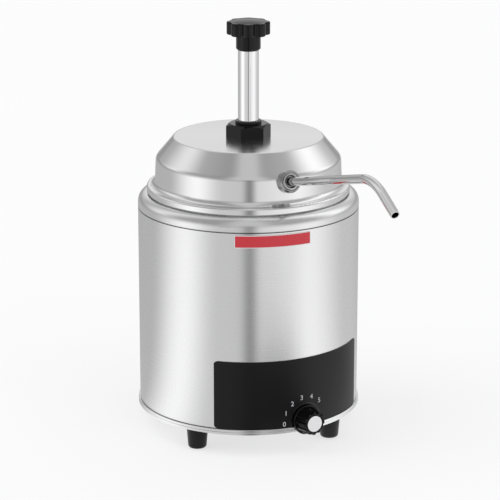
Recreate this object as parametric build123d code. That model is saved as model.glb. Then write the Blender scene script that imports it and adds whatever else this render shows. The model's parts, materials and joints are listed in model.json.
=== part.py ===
"""Hot topping warmer with a push pump: a heated water bath in a round steel case.

Frame: millimetres, +Z up, origin on the table under the centre line of the case,
front (the dial) towards -Y. The pump, its lid and its spout are built with the spout
along +X and are then turned to the angle at which the lid stands.
"""
import os
from math import asin, cos, degrees, hypot, pi, radians, sin, sqrt, tan

from build123d import *

STANDING = (Align.CENTER, Align.CENTER, Align.MIN)

# ---- clearances -----------------------------------------------------------------
FIT = 0.10            # between pieces fixed side by side
RUN = 0.08            # radial, between a guide and what slides or turns in it
REST = 0.15           # between stacked pieces that lift off each other
FREE = 0.30           # between moving pieces and their neighbours

# ---- case -----------------------------------------------------------------------
BODY_R = 101.5        # outside of the case wall
CASE_SHEET = 0.8
SHELL_HEIGHT = 186.7  # case wall, from the pan floor to the seam
SEAM_GAP = 0.5        # shadow line between case wall and collar
BACK_SEAM_WIDTH = 0.8
BACK_SEAM_DEPTH = 0.35
PAN_SHEET = 1.4
PAN_LIP_RISE = 3.4    # pan lip above the pan floor
PAN_BEAD_DEPTH = 0.3  # fine groove round the pan's edge
COLLAR_HEIGHT = 13.0
COLLAR_ROUND = 8.5    # shoulder of the collar
COLLAR_WIDTH = 13.0   # from its outside to the vessel
JOGGLE_DEPTH = 6.0    # collar's inner step that plugs into the case wall

# ---- feet -----------------------------------------------------------------------
FOOT_COUNT = 4
FOOT_HEIGHT = 21.1
FOOT_TOP_R = 10.0
FOOT_BOTTOM_R = 8.4
FOOT_SOLE_R = 7.6
FOOT_SOLE_HEIGHT = 1.0
FOOT_INSET = 13.5     # feet's centres inside the case wall
FOOT_CIRCLE_R = BODY_R - FOOT_INSET
FOOT_FIRST_TURN = -60.0   # degrees from the front, towards +X
FOOT_STUD_R = 2.0
FOOT_STUD_PLATE_R = 5.5
FOOT_STUD_PLATE_HEIGHT = 1.5
FOOT_STUD_DEPTH = 9.0     # of the moulded-in plate under the foot's top
FOOT_NUT_R = 4.0
FOOT_NUT_HEIGHT = 3.2

# ---- water vessel and heating ---------------------------------------------------
BAY_HEIGHT = 35.5     # room for the electrics between pan and vessel
VESSEL_R = BODY_R - COLLAR_WIDTH   # inside
VESSEL_SHEET = 0.8
VESSEL_CORNER_R = 8.0
VESSEL_FLANGE_WIDTH = 4.0
VESSEL_FLANGE_R = VESSEL_R + VESSEL_FLANGE_WIDTH
INSULATION_T = 8.0
INSULATION_INSET = 10.0   # the wrap ends this far from the vessel's floor and the collar
HEATER_RING_R = 52.0
HEATER_R = 3.3
HEATER_GAP = 24.0     # degrees left open between the heater's two ends
HEATER_PIN_LENGTH = 12.0
CLAMP_PLATE_R = 60.0
CLAMP_PLATE_T = 1.2
TIE_COUNT = 3
TIE_CIRCLE_R = 36.0
TIE_R = 2.5
TIE_NUT_R = 4.6
TIE_NUT_HEIGHT = 4.0
CUTOUT_R = 6.8
CUTOUT_FLANGE_R = 10.0
CUTOUT_FLANGE_T = 1.6
CUTOUT_BODY_DROP = 8.0

# ---- thermostat and dial --------------------------------------------------------
DIAL_TURN = 2.5       # dial axis, degrees from the front, towards +X
DIAL_RISE = 10.6      # dial axis above the pan's lower face
THERMOSTAT_WIDTH = 34.0
THERMOSTAT_HEIGHT = 26.0
THERMOSTAT_BELOW = 8.4    # of its body under the shaft
THERMOSTAT_DEPTH = 28.0
THERMOSTAT_GAP = 3.0  # from the inside of the case wall to the thermostat's face
THERMOSTAT_SCREW_SPACING = 28.0
BUSHING_R = 4.6
SHAFT_R = 3.0
SHAFT_FLAT = 0.8
BLADE_SPACING = 16.0
BLADE_LENGTH = 8.0
KNOB_STAND_OFF = 1.9  # knob skirt in front of the case wall
KNOB_SKIRT_R = 13.8
KNOB_SKIRT_T = 1.8
KNOB_BASE_R = 12.6
KNOB_NOSE_R = 10.7
KNOB_GRIP_LENGTH = 12.4
KNOB_NOSE_ROUND = 0.8
KNOB_LOBES = 12
KNOB_FLUTE_R = 2.0
KNOB_FLUTE_DEPTH = 1.4
KNOB_CAP_R = 7.3
KNOB_CAP_T = 1.4
KNOB_CAP_PROUD = 0.5
BULB_R = 3.0
BULB_LENGTH = 60.0
BULB_TURN = -62.0     # degrees from the front, towards +X
CAPILLARY_R = 0.8
CLIP_T = 0.8
CLIP_WIDTH = 10.0
CLIP_SPAN = 20.0      # degrees of the vessel's wall that the clip covers

# ---- wiring ---------------------------------------------------------------------
TERMINAL_LENGTH = 34.0
TERMINAL_WIDTH = 16.0
TERMINAL_HEIGHT = 14.0
TERMINAL_INSET = 43.5     # terminal block's middle in front of the back wall
TERMINAL_POSITION = (-40.0, BODY_R - TERMINAL_INSET)
TERMINAL_WAYS = 3
TERMINAL_PITCH = 10.0
TERMINAL_SCREW_R = 2.2
EARTH_INSET = 39.5        # earth stud in front of the back wall
EARTH_POSITION = (42.0, BODY_R - EARTH_INSET)
EARTH_STUD_R = 2.0
EARTH_STUD_HEIGHT = 10.0
WIRE_R = 1.2
WIRE_BEND_R = 6.0
WIRE_END_GAP = 0.1

# ---- cord entry -----------------------------------------------------------------
ENTRY_RISE = 19.0     # cord entry above the pan's lower face
ENTRY_BORE_R = 4.3
ENTRY_SHANK_R = 7.6
ENTRY_FLANGE_R = 10.0
ENTRY_FLANGE_T = 1.5
ENTRY_DEPTH = 9.0     # shank inside the case wall
ENTRY_CLIP_T = 1.6
ENTRY_CLIP_R = 10.5

# ---- front sheet and red band ----------------------------------------------------
GLUE_T = 0.05              # under the sheet and the band
OVERLAY_T = 0.5
OVERLAY_HALF_TURN = 45.6   # degrees to each side of the front
OVERLAY_HEIGHT = 63.9
OVERLAY_GAP = 0.3          # above the pan's lip
OVERLAY_CORNER_R = 3.0
BAND_T = 0.25
BAND_START = -35.0         # degrees from the front, towards +X
BAND_END = 4.7
BAND_HEIGHT = 11.4
BAND_DROP = 1.6            # below the seam

# ---- sauce jar ------------------------------------------------------------------
WATER_BELOW = 7.0     # water space under the jar
WATER_ROUND = 4.5     # water space round the jar
JAR_SHEET = 1.0
JAR_R = VESSEL_R - WATER_ROUND - JAR_SHEET   # inside
JAR_CORNER_R = 12.0
JAR_FLANGE_WIDTH = 7.6    # outside the jar's wall
JAR_FLANGE_R = JAR_R + JAR_SHEET + JAR_FLANGE_WIDTH

# ---- lid ------------------------------------------------------------------------
LID_TURN = -3.9       # spout direction, degrees from the front, towards +X
LID_SHEET = 1.0
LID_RIM_INSET = 8.3   # rim's edge inside the case wall
LID_RIM_R = BODY_R - LID_RIM_INSET
LID_RIM_DROP = 5.5
LID_RIM_WIDTH = 7.4
LID_WALL_DRAFT = 1.0
LID_CONE_WIDTH = 16.4
LID_WALL_FOOT_R = LID_RIM_R - LID_RIM_WIDTH
LID_CREASE_R = LID_WALL_FOOT_R - LID_WALL_DRAFT
LID_TOP_R = LID_CREASE_R - LID_CONE_WIDTH
LID_WALL_HEIGHT = 25.2
LID_CONE_HEIGHT = 19.6
LID_FOOT_ROUND = 5.0
LID_RIM_ROUND = 1.6
LID_CREASE_ROUND = 7.0
LID_TOP_ROUND = 1.6
SEAL_HEIGHT = 4.4
SEAL_LIP_T = 1.7
SEAL_LIP_DROP = 8.0

# ---- pump -----------------------------------------------------------------------
PUMP_STROKE = 60.0
TUBE_R = 9.525        # plunger tube
TUBE_WALL = 1.2
TUBE_SHOWN = 64.55    # between the hexagon nut's collar and the knob
CYLINDER_R = 18.0     # inside
CYLINDER_WALL = 1.5
HEAD_FLANGE_R = 24.0
HEAD_FLANGE_T = 4.0
HEAD_FLOOR_T = 6.0
HEAD_SKIRT_DROP = 7.0
HEAD_NECK_R = 13.4
HEAD_NECK_RISE = 9.4  # above the lid's top
HEAD_GASKET_T = 1.0
ROD_SEAL_T = 1.9
ROD_SEAL_HEIGHT = 3.0
NUT_FLATS = 36.0
NUT_HEIGHT = 11.9
NUT_COLLAR_R = 12.0
NUT_COLLAR_HEIGHT = 2.9
NUT_CORNER_TURN = -47.0   # degrees from the front, towards +X
NUT_CHAMFER = 0.9
STOP_COLLAR_R = 12.5
STOP_COLLAR_HEIGHT = 6.0
PISTON_HEIGHT = 12.0
PISTON_SLACK = 0.45
PISTON_GROOVE_HEIGHT = 3.4
PISTON_GROOVE_DEPTH = 2.6
PISTON_SCREW_R = 3.9
PISTON_SCREW_HEAD_R = 6.4
PISTON_SCREW_HEAD_T = 4.5
PLUG_LENGTH = 14.0
SPRING_R = 14.5
SPRING_WIRE_R = 0.9
SPRING_TURNS = 8
SPRING_SPARE = 3.0    # left between the turns when the pump is pressed right down

# ---- pump foot ------------------------------------------------------------------
FOOT_VALVE_GAP = 5.4  # above the jar's floor
INLET_HOLE_R = 5.0
INLET_HOLE_LENGTH = 4.0
INLET_BALL_R = 6.0
OUTLET_HOLE_R = 3.4
OUTLET_BALL_R = 4.5
BALL_SLACK = 0.8
BALL_LIFT = 3.0
BALL_GAP = 0.05
RETAINER_T = 1.4
RETAINER_HOLE_R = 3.5
SOCKET_DEPTH = 13.0
SOCKET_WALL = 3.0
RISER_REACH = 34.0    # riser's distance from the pump's centre
RISER_BOSS_R = 9.0
RISER_R = 5.2
RISER_BORE_R = 4.0
RISER_SOCKET_DEPTH = 10.0
RISER_BEND_R = 14.0
PASSAGE_R = 3.0
WEB_WIDTH = 14.0
UNION_R = 8.0
UNION_HEIGHT = 7.0

# ---- spout ----------------------------------------------------------------------
SPOUT_R = 4.0
SPOUT_BORE_R = 3.2
SPOUT_ROOT_PROUD = 0.2    # outside the foot of the lid's wall
SPOUT_ROOT_R = LID_WALL_FOOT_R + SPOUT_ROOT_PROUD
SPOUT_ROOT_DROP = 3.9     # below the lid's crease
SPOUT_RISE = 14.05        # degrees above level
SPOUT_FALL = 28.2         # degrees below level at the outlet
SPOUT_BEND_R = 52.0
SPOUT_REACH = 289.6       # outlet centre from the centre line
SPOUT_DROOP = 39.6        # of the reach, from where the two straight runs would meet
SPOUT_CORNER_R = SPOUT_REACH - SPOUT_DROOP
BOSS_R = 10.2
BOSS_PROUD = 6.0
BOSS_CHAMFER = 1.5
BOSS_SHANK_R = 6.4
LOCKNUT_R = 9.4
LOCKNUT_T = 4.0
LOCKNUT_INSET = 10.0
SPOUT_NUT_R = 7.5
SPOUT_NUT_SLACK = 0.4     # groove round the gland ring
SPOUT_NUT_PROUD = 0.9     # of the fitting's face
SPOUT_NUT_SET = 2.6       # below the fitting's face
SPOUT_NUT_CHAMFER = 0.8
SPOUT_NUT_BORE_R = 5.6
SPOUT_NUT_RECESS = 1.8
COUPLING_R = 6.8
COUPLING_LENGTH = 11.0
SPOUT_TAIL = 13.9         # spout tube behind the root point

# ---- star knob ------------------------------------------------------------------
STAR_R = 19.7
STAR_LOBES = 8
STAR_TURN = -28.0     # of one lobe, degrees from the front, towards +X
STAR_LOBE_R = 5.6
STAR_VALLEY_R = 1.6
STAR_DISC_HEIGHT = 12.0
STAR_EDGE_ROUND = 1.3
STAR_HUB_R = 11.2
STAR_HUB_HEIGHT = 14.2
STAR_HUB_CHAMFER = 1.6
STAR_CROWN_R = 17.0
STAR_CROWN_HEIGHT = 2.1
STAR_STUD_R = 3.0
STAR_STUD_RISE = 8.0

# ---- heights that follow --------------------------------------------------------
PAN_TOP = FOOT_HEIGHT + PAN_SHEET
LIP_TOP = PAN_TOP + PAN_LIP_RISE
LIP_R = BODY_R + FIT + PAN_SHEET
SHELL_TOP = PAN_TOP + SHELL_HEIGHT
COLLAR_FOOT = SHELL_TOP + SEAM_GAP
LAND = COLLAR_FOOT + COLLAR_HEIGHT
VESSEL_UNDER = PAN_TOP + BAY_HEIGHT
VESSEL_FLOOR = VESSEL_UNDER + VESSEL_SHEET
VESSEL_OUT_R = VESSEL_R + VESSEL_SHEET
JAR_UNDER = VESSEL_FLOOR + WATER_BELOW
JAR_FLOOR = JAR_UNDER + JAR_SHEET
JAR_TOP = LAND + REST + JAR_SHEET
SEAL_FOOT = JAR_TOP + REST
LEDGE_UNDER = SEAL_FOOT + SEAL_HEIGHT + REST
LEDGE_TOP = LEDGE_UNDER + LID_SHEET
LID_RIM_FOOT = LEDGE_TOP - LID_RIM_DROP
LID_CREASE = LEDGE_TOP + LID_WALL_HEIGHT
LID_TOP = LID_CREASE + LID_CONE_HEIGHT
LID_UNDER = LID_TOP - LID_SHEET
DIAL_Z = FOOT_HEIGHT + DIAL_RISE
ENTRY_Z = FOOT_HEIGHT + ENTRY_RISE

HEAD_FLANGE_TOP = LID_UNDER - HEAD_GASKET_T
HEAD_FLANGE_UNDER = HEAD_FLANGE_TOP - HEAD_FLANGE_T
HEAD_FLOOR_UNDER = HEAD_FLANGE_UNDER - HEAD_FLOOR_T
NUT_TOP = LID_TOP + NUT_HEIGHT + NUT_COLLAR_HEIGHT
STAR_UNDER = NUT_TOP + TUBE_SHOWN
STAR_DISC_UNDER = STAR_UNDER + STAR_HUB_HEIGHT
STAR_DISC_TOP = STAR_DISC_UNDER + STAR_DISC_HEIGHT
STAR_TOP = STAR_DISC_TOP + STAR_CROWN_HEIGHT

VALVE_UNDER = JAR_FLOOR + FOOT_VALVE_GAP
INLET_SEAT = VALVE_UNDER + INLET_HOLE_LENGTH


def cap_height(ball_r, hole_r):
    """Height of a ball's centre above the plane of a hole that it rests on."""
    return sqrt(ball_r ** 2 - hole_r ** 2)


INLET_BALL_Z = INLET_SEAT + cap_height(INLET_BALL_R, INLET_HOLE_R) + BALL_GAP
INLET_CHAMBER_R = INLET_BALL_R + BALL_SLACK
INLET_BALL_STOP = INLET_BALL_Z + BALL_LIFT + cap_height(INLET_BALL_R, RETAINER_HOLE_R)
RETAINER_UNDER = INLET_BALL_STOP + BALL_GAP
RETAINER_TOP = RETAINER_UNDER + RETAINER_T
PASSAGE_Z = (INLET_SEAT + RETAINER_UNDER) / 2
OUTLET_SEAT = PASSAGE_Z + 2 * PASSAGE_R
OUTLET_BALL_Z = OUTLET_SEAT + cap_height(OUTLET_BALL_R, OUTLET_HOLE_R) + BALL_GAP
OUTLET_BALL_STOP = OUTLET_BALL_Z + BALL_LIFT + cap_height(OUTLET_BALL_R, RISER_BORE_R)
RISER_FOOT = OUTLET_BALL_STOP + BALL_GAP
RISER_SOCKET_TOP = RISER_FOOT + RISER_SOCKET_DEPTH
CYLINDER_OUT_R = CYLINDER_R + CYLINDER_WALL
SOCKET_TOP = RETAINER_UNDER + SOCKET_DEPTH
VALVE_R = CYLINDER_OUT_R + FIT + SOCKET_WALL
SPRING_SOLID = 2 * SPRING_WIRE_R * (SPRING_TURNS + 1)
PISTON_UNDER = RETAINER_TOP + PUMP_STROKE + SPRING_SOLID + SPRING_SPARE
PISTON_TOP = PISTON_UNDER + PISTON_HEIGHT

SPOUT_ROOT = (SPOUT_ROOT_R, LID_CREASE - SPOUT_ROOT_DROP)
SPOUT_ALONG = (cos(radians(SPOUT_RISE)), sin(radians(SPOUT_RISE)))


# ---- helpers --------------------------------------------------------------------
def ring(inner, outer, low, high):
    """A round tube about Z."""
    tube = Pos(0, 0, low) * Cylinder(outer, high - low, align=STANDING)
    return tube - rod(inner, low, high) if inner > 0 else tube


def rod(radius, low, high):
    """A round bar about Z."""
    return Pos(0, 0, low) * Cylinder(radius, high - low, align=STANDING)


def turned(points):
    """A closed outline of (radius, height) points, turned about Z."""
    return revolve(Plane.XZ * make_face(Polyline(*points, close=True)), Axis.Z)


def pressed(points, bends, sheet):
    """Sheet metal turned about Z: its upper or outer line runs from the centre outwards."""
    line = FilletPolyline(*points, radius=bends)
    edge = Wire(line.edges()).offset_2d(sheet, kind=Kind.ARC, side=Side.RIGHT, closed=True)
    return revolve(Plane.XZ * make_face(edge.edges()), Axis.Z)


def around(count, radius, first=0.0):
    """Places on a circle about Z, the first one `first` degrees from the front towards +X."""
    step = 360 / count
    return [Rot(0, 0, first - 90 + step * i) * Pos(radius, 0, 0) for i in range(count)]


def compass(turn):
    """A turn about Z that brings +X to `turn` degrees from the front, towards +X."""
    return Rot(0, 0, turn - 90)


def facing_front(height):
    """A place whose +Z points out of the front of the case, at this height."""
    return Pos(0, 0, height) * Rot(90, 0, 0)


def on_dial():
    """A place whose +Z is the dial's axis, pointing out of the case."""
    return Rot(0, 0, DIAL_TURN) * facing_front(DIAL_Z)


def facing_back(height):
    """A place whose +Z points out of the back of the case, at this height."""
    return Pos(0, 0, height) * Rot(-90, 0, 0)


def hexagon(flats, low, high):
    """A hexagon bar about Z, one corner on +X."""
    outline = RegularPolygon(flats / 2, 6, major_radius=False)
    bar = Pos(0, 0, low) * extrude(outline, high - low)
    return bar


def on_spout(start, end, radius, outer_edge=0.0):
    """A round bar on the spout's first straight run, between two distances from its root."""
    along_x, along_z = SPOUT_ALONG
    foot = (SPOUT_ROOT[0] + start * along_x, 0, SPOUT_ROOT[1] + start * along_z)
    plane = Plane(origin=foot, x_dir=(0, 1, 0), z_dir=(along_x, 0, along_z))
    bar = Cylinder(radius, end - start, align=STANDING)
    if outer_edge > 0:
        bar = chamfer(bar.edges().filter_by(GeomType.CIRCLE).sort_by(Axis.Z)[-1], outer_edge)
    return plane * bar


def spout_point(distance):
    """The point on the spout's first straight run at this distance from its root."""
    return (
        SPOUT_ROOT[0] + distance * SPOUT_ALONG[0],
        0,
        SPOUT_ROOT[1] + distance * SPOUT_ALONG[1],
    )


def piped(points, bends, outer, inner=0.0):
    """A round bar or tube along straight runs joined by arcs."""
    line = FilletPolyline(*points, radius=bends) if len(points) > 2 else Line(*points)
    path = Wire(line.edges())
    end = Plane(origin=path @ 0, z_dir=path % 0)
    bar = sweep(end * Circle(outer), path=path)
    return bar - sweep(end * Circle(inner), path=path) if inner > 0 else bar


# ---- base: case, vessel, heating -------------------------------------------------
def base_pan():
    """Shallow pan that closes the case from below."""
    inside = LIP_R - PAN_SHEET
    middle = (FOOT_HEIGHT + LIP_TOP) / 2
    bead = PAN_BEAD_DEPTH
    pan = turned(
        [
            (0, FOOT_HEIGHT),
            (LIP_R - bead, FOOT_HEIGHT),
            (LIP_R, FOOT_HEIGHT + bead),
            (LIP_R, middle - bead),
            (LIP_R - bead, middle),
            (LIP_R, middle + bead),
            (LIP_R, LIP_TOP - bead),
            (LIP_R - bead, LIP_TOP),
            (inside, LIP_TOP),
            (inside, PAN_TOP),
            (0, PAN_TOP),
        ]
    )
    for place in around(FOOT_COUNT, FOOT_CIRCLE_R, FOOT_FIRST_TURN):
        pan -= place * rod(FOOT_STUD_R + FIT, FOOT_HEIGHT - 1, PAN_TOP + 1)
    for place in around(TIE_COUNT, TIE_CIRCLE_R):
        pan -= place * rod(TIE_R + FIT, FOOT_HEIGHT - 1, PAN_TOP + 1)
    return pan


def outer_shell():
    """Rolled case wall with its back seam and its two openings."""
    shell = ring(BODY_R - CASE_SHEET, BODY_R, PAN_TOP, SHELL_TOP)
    wall_y = BODY_R - CASE_SHEET - 1
    reach = CASE_SHEET + 2
    shell -= on_dial() * rod(BUSHING_R + FREE, wall_y - FREE, wall_y + reach)
    shell -= facing_back(ENTRY_Z) * rod(ENTRY_SHANK_R + FIT, wall_y - 1, wall_y + reach)
    for side in (-1, 1):
        place = on_dial() * Pos(side * THERMOSTAT_SCREW_SPACING / 2, 0, 0)
        shell -= place * rod(SHAFT_R / 2 + FIT, wall_y - 3, wall_y + reach)
    seam = Box(BACK_SEAM_WIDTH, 2 * BACK_SEAM_DEPTH, SHELL_HEIGHT, align=STANDING)
    return shell - Pos(0, BODY_R, PAN_TOP + ENTRY_Z) * seam


def top_collar():
    """Round-shouldered ring that carries the jar's flange and plugs into the case wall."""
    inner = VESSEL_R
    step = BODY_R - CASE_SHEET - FIT
    joggle = CASE_SHEET + FIT
    line = FilletPolyline(
        (inner, LAND),
        (BODY_R, LAND),
        (BODY_R, COLLAR_FOOT),
        radius=COLLAR_ROUND,
    )
    edge = Wire(line.edges()).offset_2d(CASE_SHEET, kind=Kind.ARC, side=Side.RIGHT, closed=True)
    skirt = revolve(Plane.XZ * make_face(edge.edges()), Axis.Z)
    plug = ring(step - CASE_SHEET, step, SHELL_TOP - JOGGLE_DEPTH, COLLAR_FOOT)
    bridge = ring(step - CASE_SHEET, BODY_R - CASE_SHEET / 2, COLLAR_FOOT, COLLAR_FOOT + joggle)
    return skirt + plug + bridge


def water_vessel():
    """Deep-drawn pot for the water bath, its flange welded under the collar's land."""
    flange = LAND - CASE_SHEET
    line = [
        (VESSEL_FLANGE_R, flange),
        (VESSEL_OUT_R - VESSEL_SHEET, flange),
        (VESSEL_OUT_R - VESSEL_SHEET, VESSEL_FLOOR),
        (0, VESSEL_FLOOR),
    ]
    return pressed_pot(line, VESSEL_CORNER_R, VESSEL_SHEET)


def pressed_pot(points, corner, sheet):
    """An open pot: the points give its inner line, from the flange's edge to the floor's centre."""
    lip = sheet / 2
    line = FilletPolyline(*points, radius=[lip, corner])
    edge = Wire(line.edges()).offset_2d(sheet, kind=Kind.ARC, side=Side.LEFT, closed=True)
    return revolve(Plane.XZ * make_face(edge.edges()), Axis.Z)


def insulation_wrap():
    """Glass wool round the vessel, open where the sensor bulb lies."""
    inner = VESSEL_OUT_R + FIT
    low = VESSEL_FLOOR + INSULATION_INSET
    high = LAND - INSULATION_INSET - COLLAR_HEIGHT
    wrap = ring(inner, inner + INSULATION_T, low, high)
    clip_width = 2 * (VESSEL_OUT_R + CLIP_T) * sin(radians(CLIP_SPAN / 2))
    window = Pos(VESSEL_OUT_R, 0, low - 1) * Box(
        2 * INSULATION_T + 4 * BULB_R,
        clip_width + 2 * CLIP_T,
        BULB_LENGTH + 2 * INSULATION_INSET,
        align=STANDING,
    )
    return wrap - compass(BULB_TURN) * window


def heater_height():
    """Height of the heating tube's centre line."""
    return VESSEL_UNDER - HEATER_R


def heating_element():
    """Sheathed heating tube under the vessel, its two cold pins pointing down."""
    height = heater_height()
    arc = 360 - HEATER_GAP
    section = Plane.XZ * Pos(HEATER_RING_R, height) * Circle(HEATER_R)
    loop = Rot(0, 0, HEATER_GAP / 2) * revolve(section, Axis.Z, arc)
    for turn in (HEATER_GAP / 2, -HEATER_GAP / 2):
        end = Rot(0, 0, turn) * Pos(HEATER_RING_R, 0, 0)
        loop += end * rod(HEATER_R, height - HEATER_PIN_LENGTH, height)
        loop += end * Pos(0, 0, height) * Sphere(HEATER_R)
    return loop


def clamp_plate_top():
    """Upper face of the plate that presses the heating tube on to the vessel."""
    return VESSEL_UNDER - 2 * HEATER_R


def heater_clamp():
    """Round plate under the heating tube, open for the pins, the ties and the cut-out."""
    top = clamp_plate_top()
    plate = rod(CLAMP_PLATE_R, top - CLAMP_PLATE_T, top)
    gap = 2 * HEATER_RING_R * sin(radians(HEATER_GAP / 2)) + 3 * HEATER_R
    notch = Box(2 * (CLAMP_PLATE_R - HEATER_RING_R + 2 * HEATER_R), gap, 4 * CLAMP_PLATE_T)
    plate -= Pos(CLAMP_PLATE_R, 0, top) * notch
    for place in around(TIE_COUNT, TIE_CIRCLE_R):
        plate -= place * rod(TIE_R + FIT, top - 2 * CLAMP_PLATE_T, top + 1)
    return plate - rod(CUTOUT_R + FIT, top - 2 * CLAMP_PLATE_T, top + 1)


def tie_studs():
    """Studs welded under the vessel; they hold the clamp plate and the pan."""
    low = FOOT_HEIGHT - TIE_NUT_HEIGHT - 1
    return [place * rod(TIE_R, low, VESSEL_UNDER) for place in around(TIE_COUNT, TIE_CIRCLE_R)]


def tie_nuts():
    """Two hexagon nuts on each tie: one under the clamp plate, one under the pan."""
    nuts = []
    for top in (clamp_plate_top() - CLAMP_PLATE_T, FOOT_HEIGHT):
        low = top - TIE_NUT_HEIGHT
        nut = hexagon(2 * TIE_NUT_R, low, top) - rod(TIE_R, low, top)
        nuts += [place * nut for place in around(TIE_COUNT, TIE_CIRCLE_R)]
    return nuts


def thermal_cutout():
    """Snap-action over-heat switch between the clamp plate and the vessel."""
    top = clamp_plate_top()
    body = rod(CUTOUT_R, top - CUTOUT_BODY_DROP, top)
    body += rod(CUTOUT_FLANGE_R, top, top + CUTOUT_FLANGE_T)
    body += rod(CUTOUT_R, top + CUTOUT_FLANGE_T, VESSEL_UNDER)
    for side in (-1, 1):
        blade = Box(0.8, 5, 7, align=(Align.CENTER, Align.CENTER, Align.MAX))
        body += Pos(side * CUTOUT_R / 2, 0, top - CUTOUT_BODY_DROP) * blade
    return body


def rubber_foot():
    """Tapered rubber foot with a flat sole ring."""
    return turned(
        [
            (0, 0),
            (FOOT_SOLE_R, 0),
            (FOOT_SOLE_R, FOOT_SOLE_HEIGHT),
            (FOOT_BOTTOM_R, 2 * FOOT_SOLE_HEIGHT),
            (FOOT_TOP_R, FOOT_HEIGHT),
            (0, FOOT_HEIGHT),
        ]
    )


def foot_stud():
    """Threaded stud with the plate that the foot is moulded round."""
    plate = FOOT_HEIGHT - FOOT_STUD_DEPTH
    stud = rod(FOOT_STUD_PLATE_R, plate - FOOT_STUD_PLATE_HEIGHT, plate)
    return stud + rod(FOOT_STUD_R, plate, PAN_TOP + FOOT_NUT_HEIGHT + 1.5)


def foot_nut():
    """Nut that holds a foot from inside the pan."""
    nut = hexagon(2 * FOOT_NUT_R, PAN_TOP, PAN_TOP + FOOT_NUT_HEIGHT)
    return nut - rod(FOOT_STUD_R, PAN_TOP, PAN_TOP + FOOT_NUT_HEIGHT)


# ---- base: thermostat, sensor and wiring -----------------------------------------
THERMOSTAT_FACE = BODY_R - CASE_SHEET - THERMOSTAT_GAP
THERMOSTAT_BACK = THERMOSTAT_FACE - THERMOSTAT_DEPTH


def thermostat():
    """Capillary thermostat with its bushing and two blade terminals."""
    middle = (THERMOSTAT_FACE + THERMOSTAT_BACK) / 2
    lift = THERMOSTAT_HEIGHT / 2 - THERMOSTAT_BELOW
    body = Pos(0, lift, middle) * Box(THERMOSTAT_WIDTH, THERMOSTAT_HEIGHT, THERMOSTAT_DEPTH)
    body = fillet(body.edges().filter_by(Axis.Z), 3)
    body += rod(BUSHING_R, THERMOSTAT_FACE, BODY_R + OVERLAY_T)
    body -= rod(SHAFT_R + RUN, middle, BODY_R + OVERLAY_T + 1)
    for side in (-1, 1):
        place = Pos(side * THERMOSTAT_SCREW_SPACING / 2, 0, 0)
        body -= place * rod(SHAFT_R / 2, middle, THERMOSTAT_FACE + 1)
        blade = Box(0.8, 6, BLADE_LENGTH, align=(Align.CENTER, Align.CENTER, Align.MAX))
        body += Pos(side * BLADE_SPACING / 2, 0, THERMOSTAT_BACK) * blade
    return on_dial() * body


def thermostat_screws():
    """Two screws through the case wall and a spacer each, hidden by the front sheet."""
    screws = []
    for side in (-1, 1):
        offset = side * THERMOSTAT_SCREW_SPACING / 2
        wall = sqrt(BODY_R ** 2 - (abs(offset) + SHAFT_R / 2) ** 2)
        shank = rod(SHAFT_R / 2, THERMOSTAT_FACE - 5, wall)
        screws.append(on_dial() * Pos(offset, 0, 0) * shank)
    return screws


def bulb_place():
    """Centre line of the sensor bulb beside the vessel."""
    return compass(BULB_TURN) * Pos(VESSEL_OUT_R + BULB_R + FIT, 0, 0)


def bulb_foot():
    """Height of the sensor bulb's lower end."""
    return VESSEL_FLOOR + INSULATION_INSET


def sensor_bulb():
    """Oil-filled bulb that feels the vessel's wall."""
    low = bulb_foot()
    bulb = rod(BULB_R, low, low + BULB_LENGTH)
    bulb = fillet(bulb.edges().filter_by(GeomType.CIRCLE), 0.8)
    return bulb_place() * bulb


def bulb_clip():
    """Spring-steel strap round the bulb, spot-welded to the vessel on both sides."""
    middle = bulb_foot() + BULB_LENGTH / 2
    low, high = middle - CLIP_WIDTH / 2, middle + CLIP_WIDTH / 2
    strap = ring(VESSEL_OUT_R, VESSEL_OUT_R + CLIP_T, low, high)
    reach = 2 * (VESSEL_OUT_R + CLIP_T)
    half = radians(CLIP_SPAN / 2)
    corners = [(reach * cos(half), side * reach * sin(half)) for side in (-1, 1)]
    strap &= extrude(make_face(Polyline((0, 0), *corners, close=True)), high + 1)
    centre = Pos(VESSEL_OUT_R + BULB_R + FIT, 0, 0)
    strap += centre * rod(BULB_R + FIT + CLIP_T, low, high) - rod(VESSEL_OUT_R, low - 1, high + 1)
    strap -= centre * rod(BULB_R + FIT, low - 1, high + 1)
    width = 2 * (BULB_R + FIT)
    throat = Box(width, width, 2 * CLIP_WIDTH)
    return compass(BULB_TURN) * (strap - Pos(VESSEL_OUT_R, 0, middle) * throat)


def capillary():
    """Fine tube from the thermostat to the sensor bulb."""
    turn = radians(BULB_TURN)
    reach = VESSEL_OUT_R + BULB_R + FIT
    bulb_x, bulb_y = reach * sin(turn), -reach * cos(turn)
    depth = (THERMOSTAT_FACE + THERMOSTAT_BACK) / 2
    start = (on_dial() * Pos(-THERMOSTAT_WIDTH / 2, 0, depth)).position
    points = [
        (start.X, start.Y, start.Z),
        (start.X - THERMOSTAT_WIDTH / 2, start.Y, start.Z),
        (bulb_x, bulb_y - VESSEL_CORNER_R, DIAL_Z + VESSEL_CORNER_R),
        (bulb_x, bulb_y, DIAL_Z + 2 * VESSEL_CORNER_R),
        (bulb_x, bulb_y, bulb_foot()),
    ]
    return piped(points, [5, 5, 3], CAPILLARY_R)


def terminal_ways():
    """Offsets of the terminal block's ways along its length."""
    return [TERMINAL_PITCH * (i - (TERMINAL_WAYS - 1) / 2) for i in range(TERMINAL_WAYS)]


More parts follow.
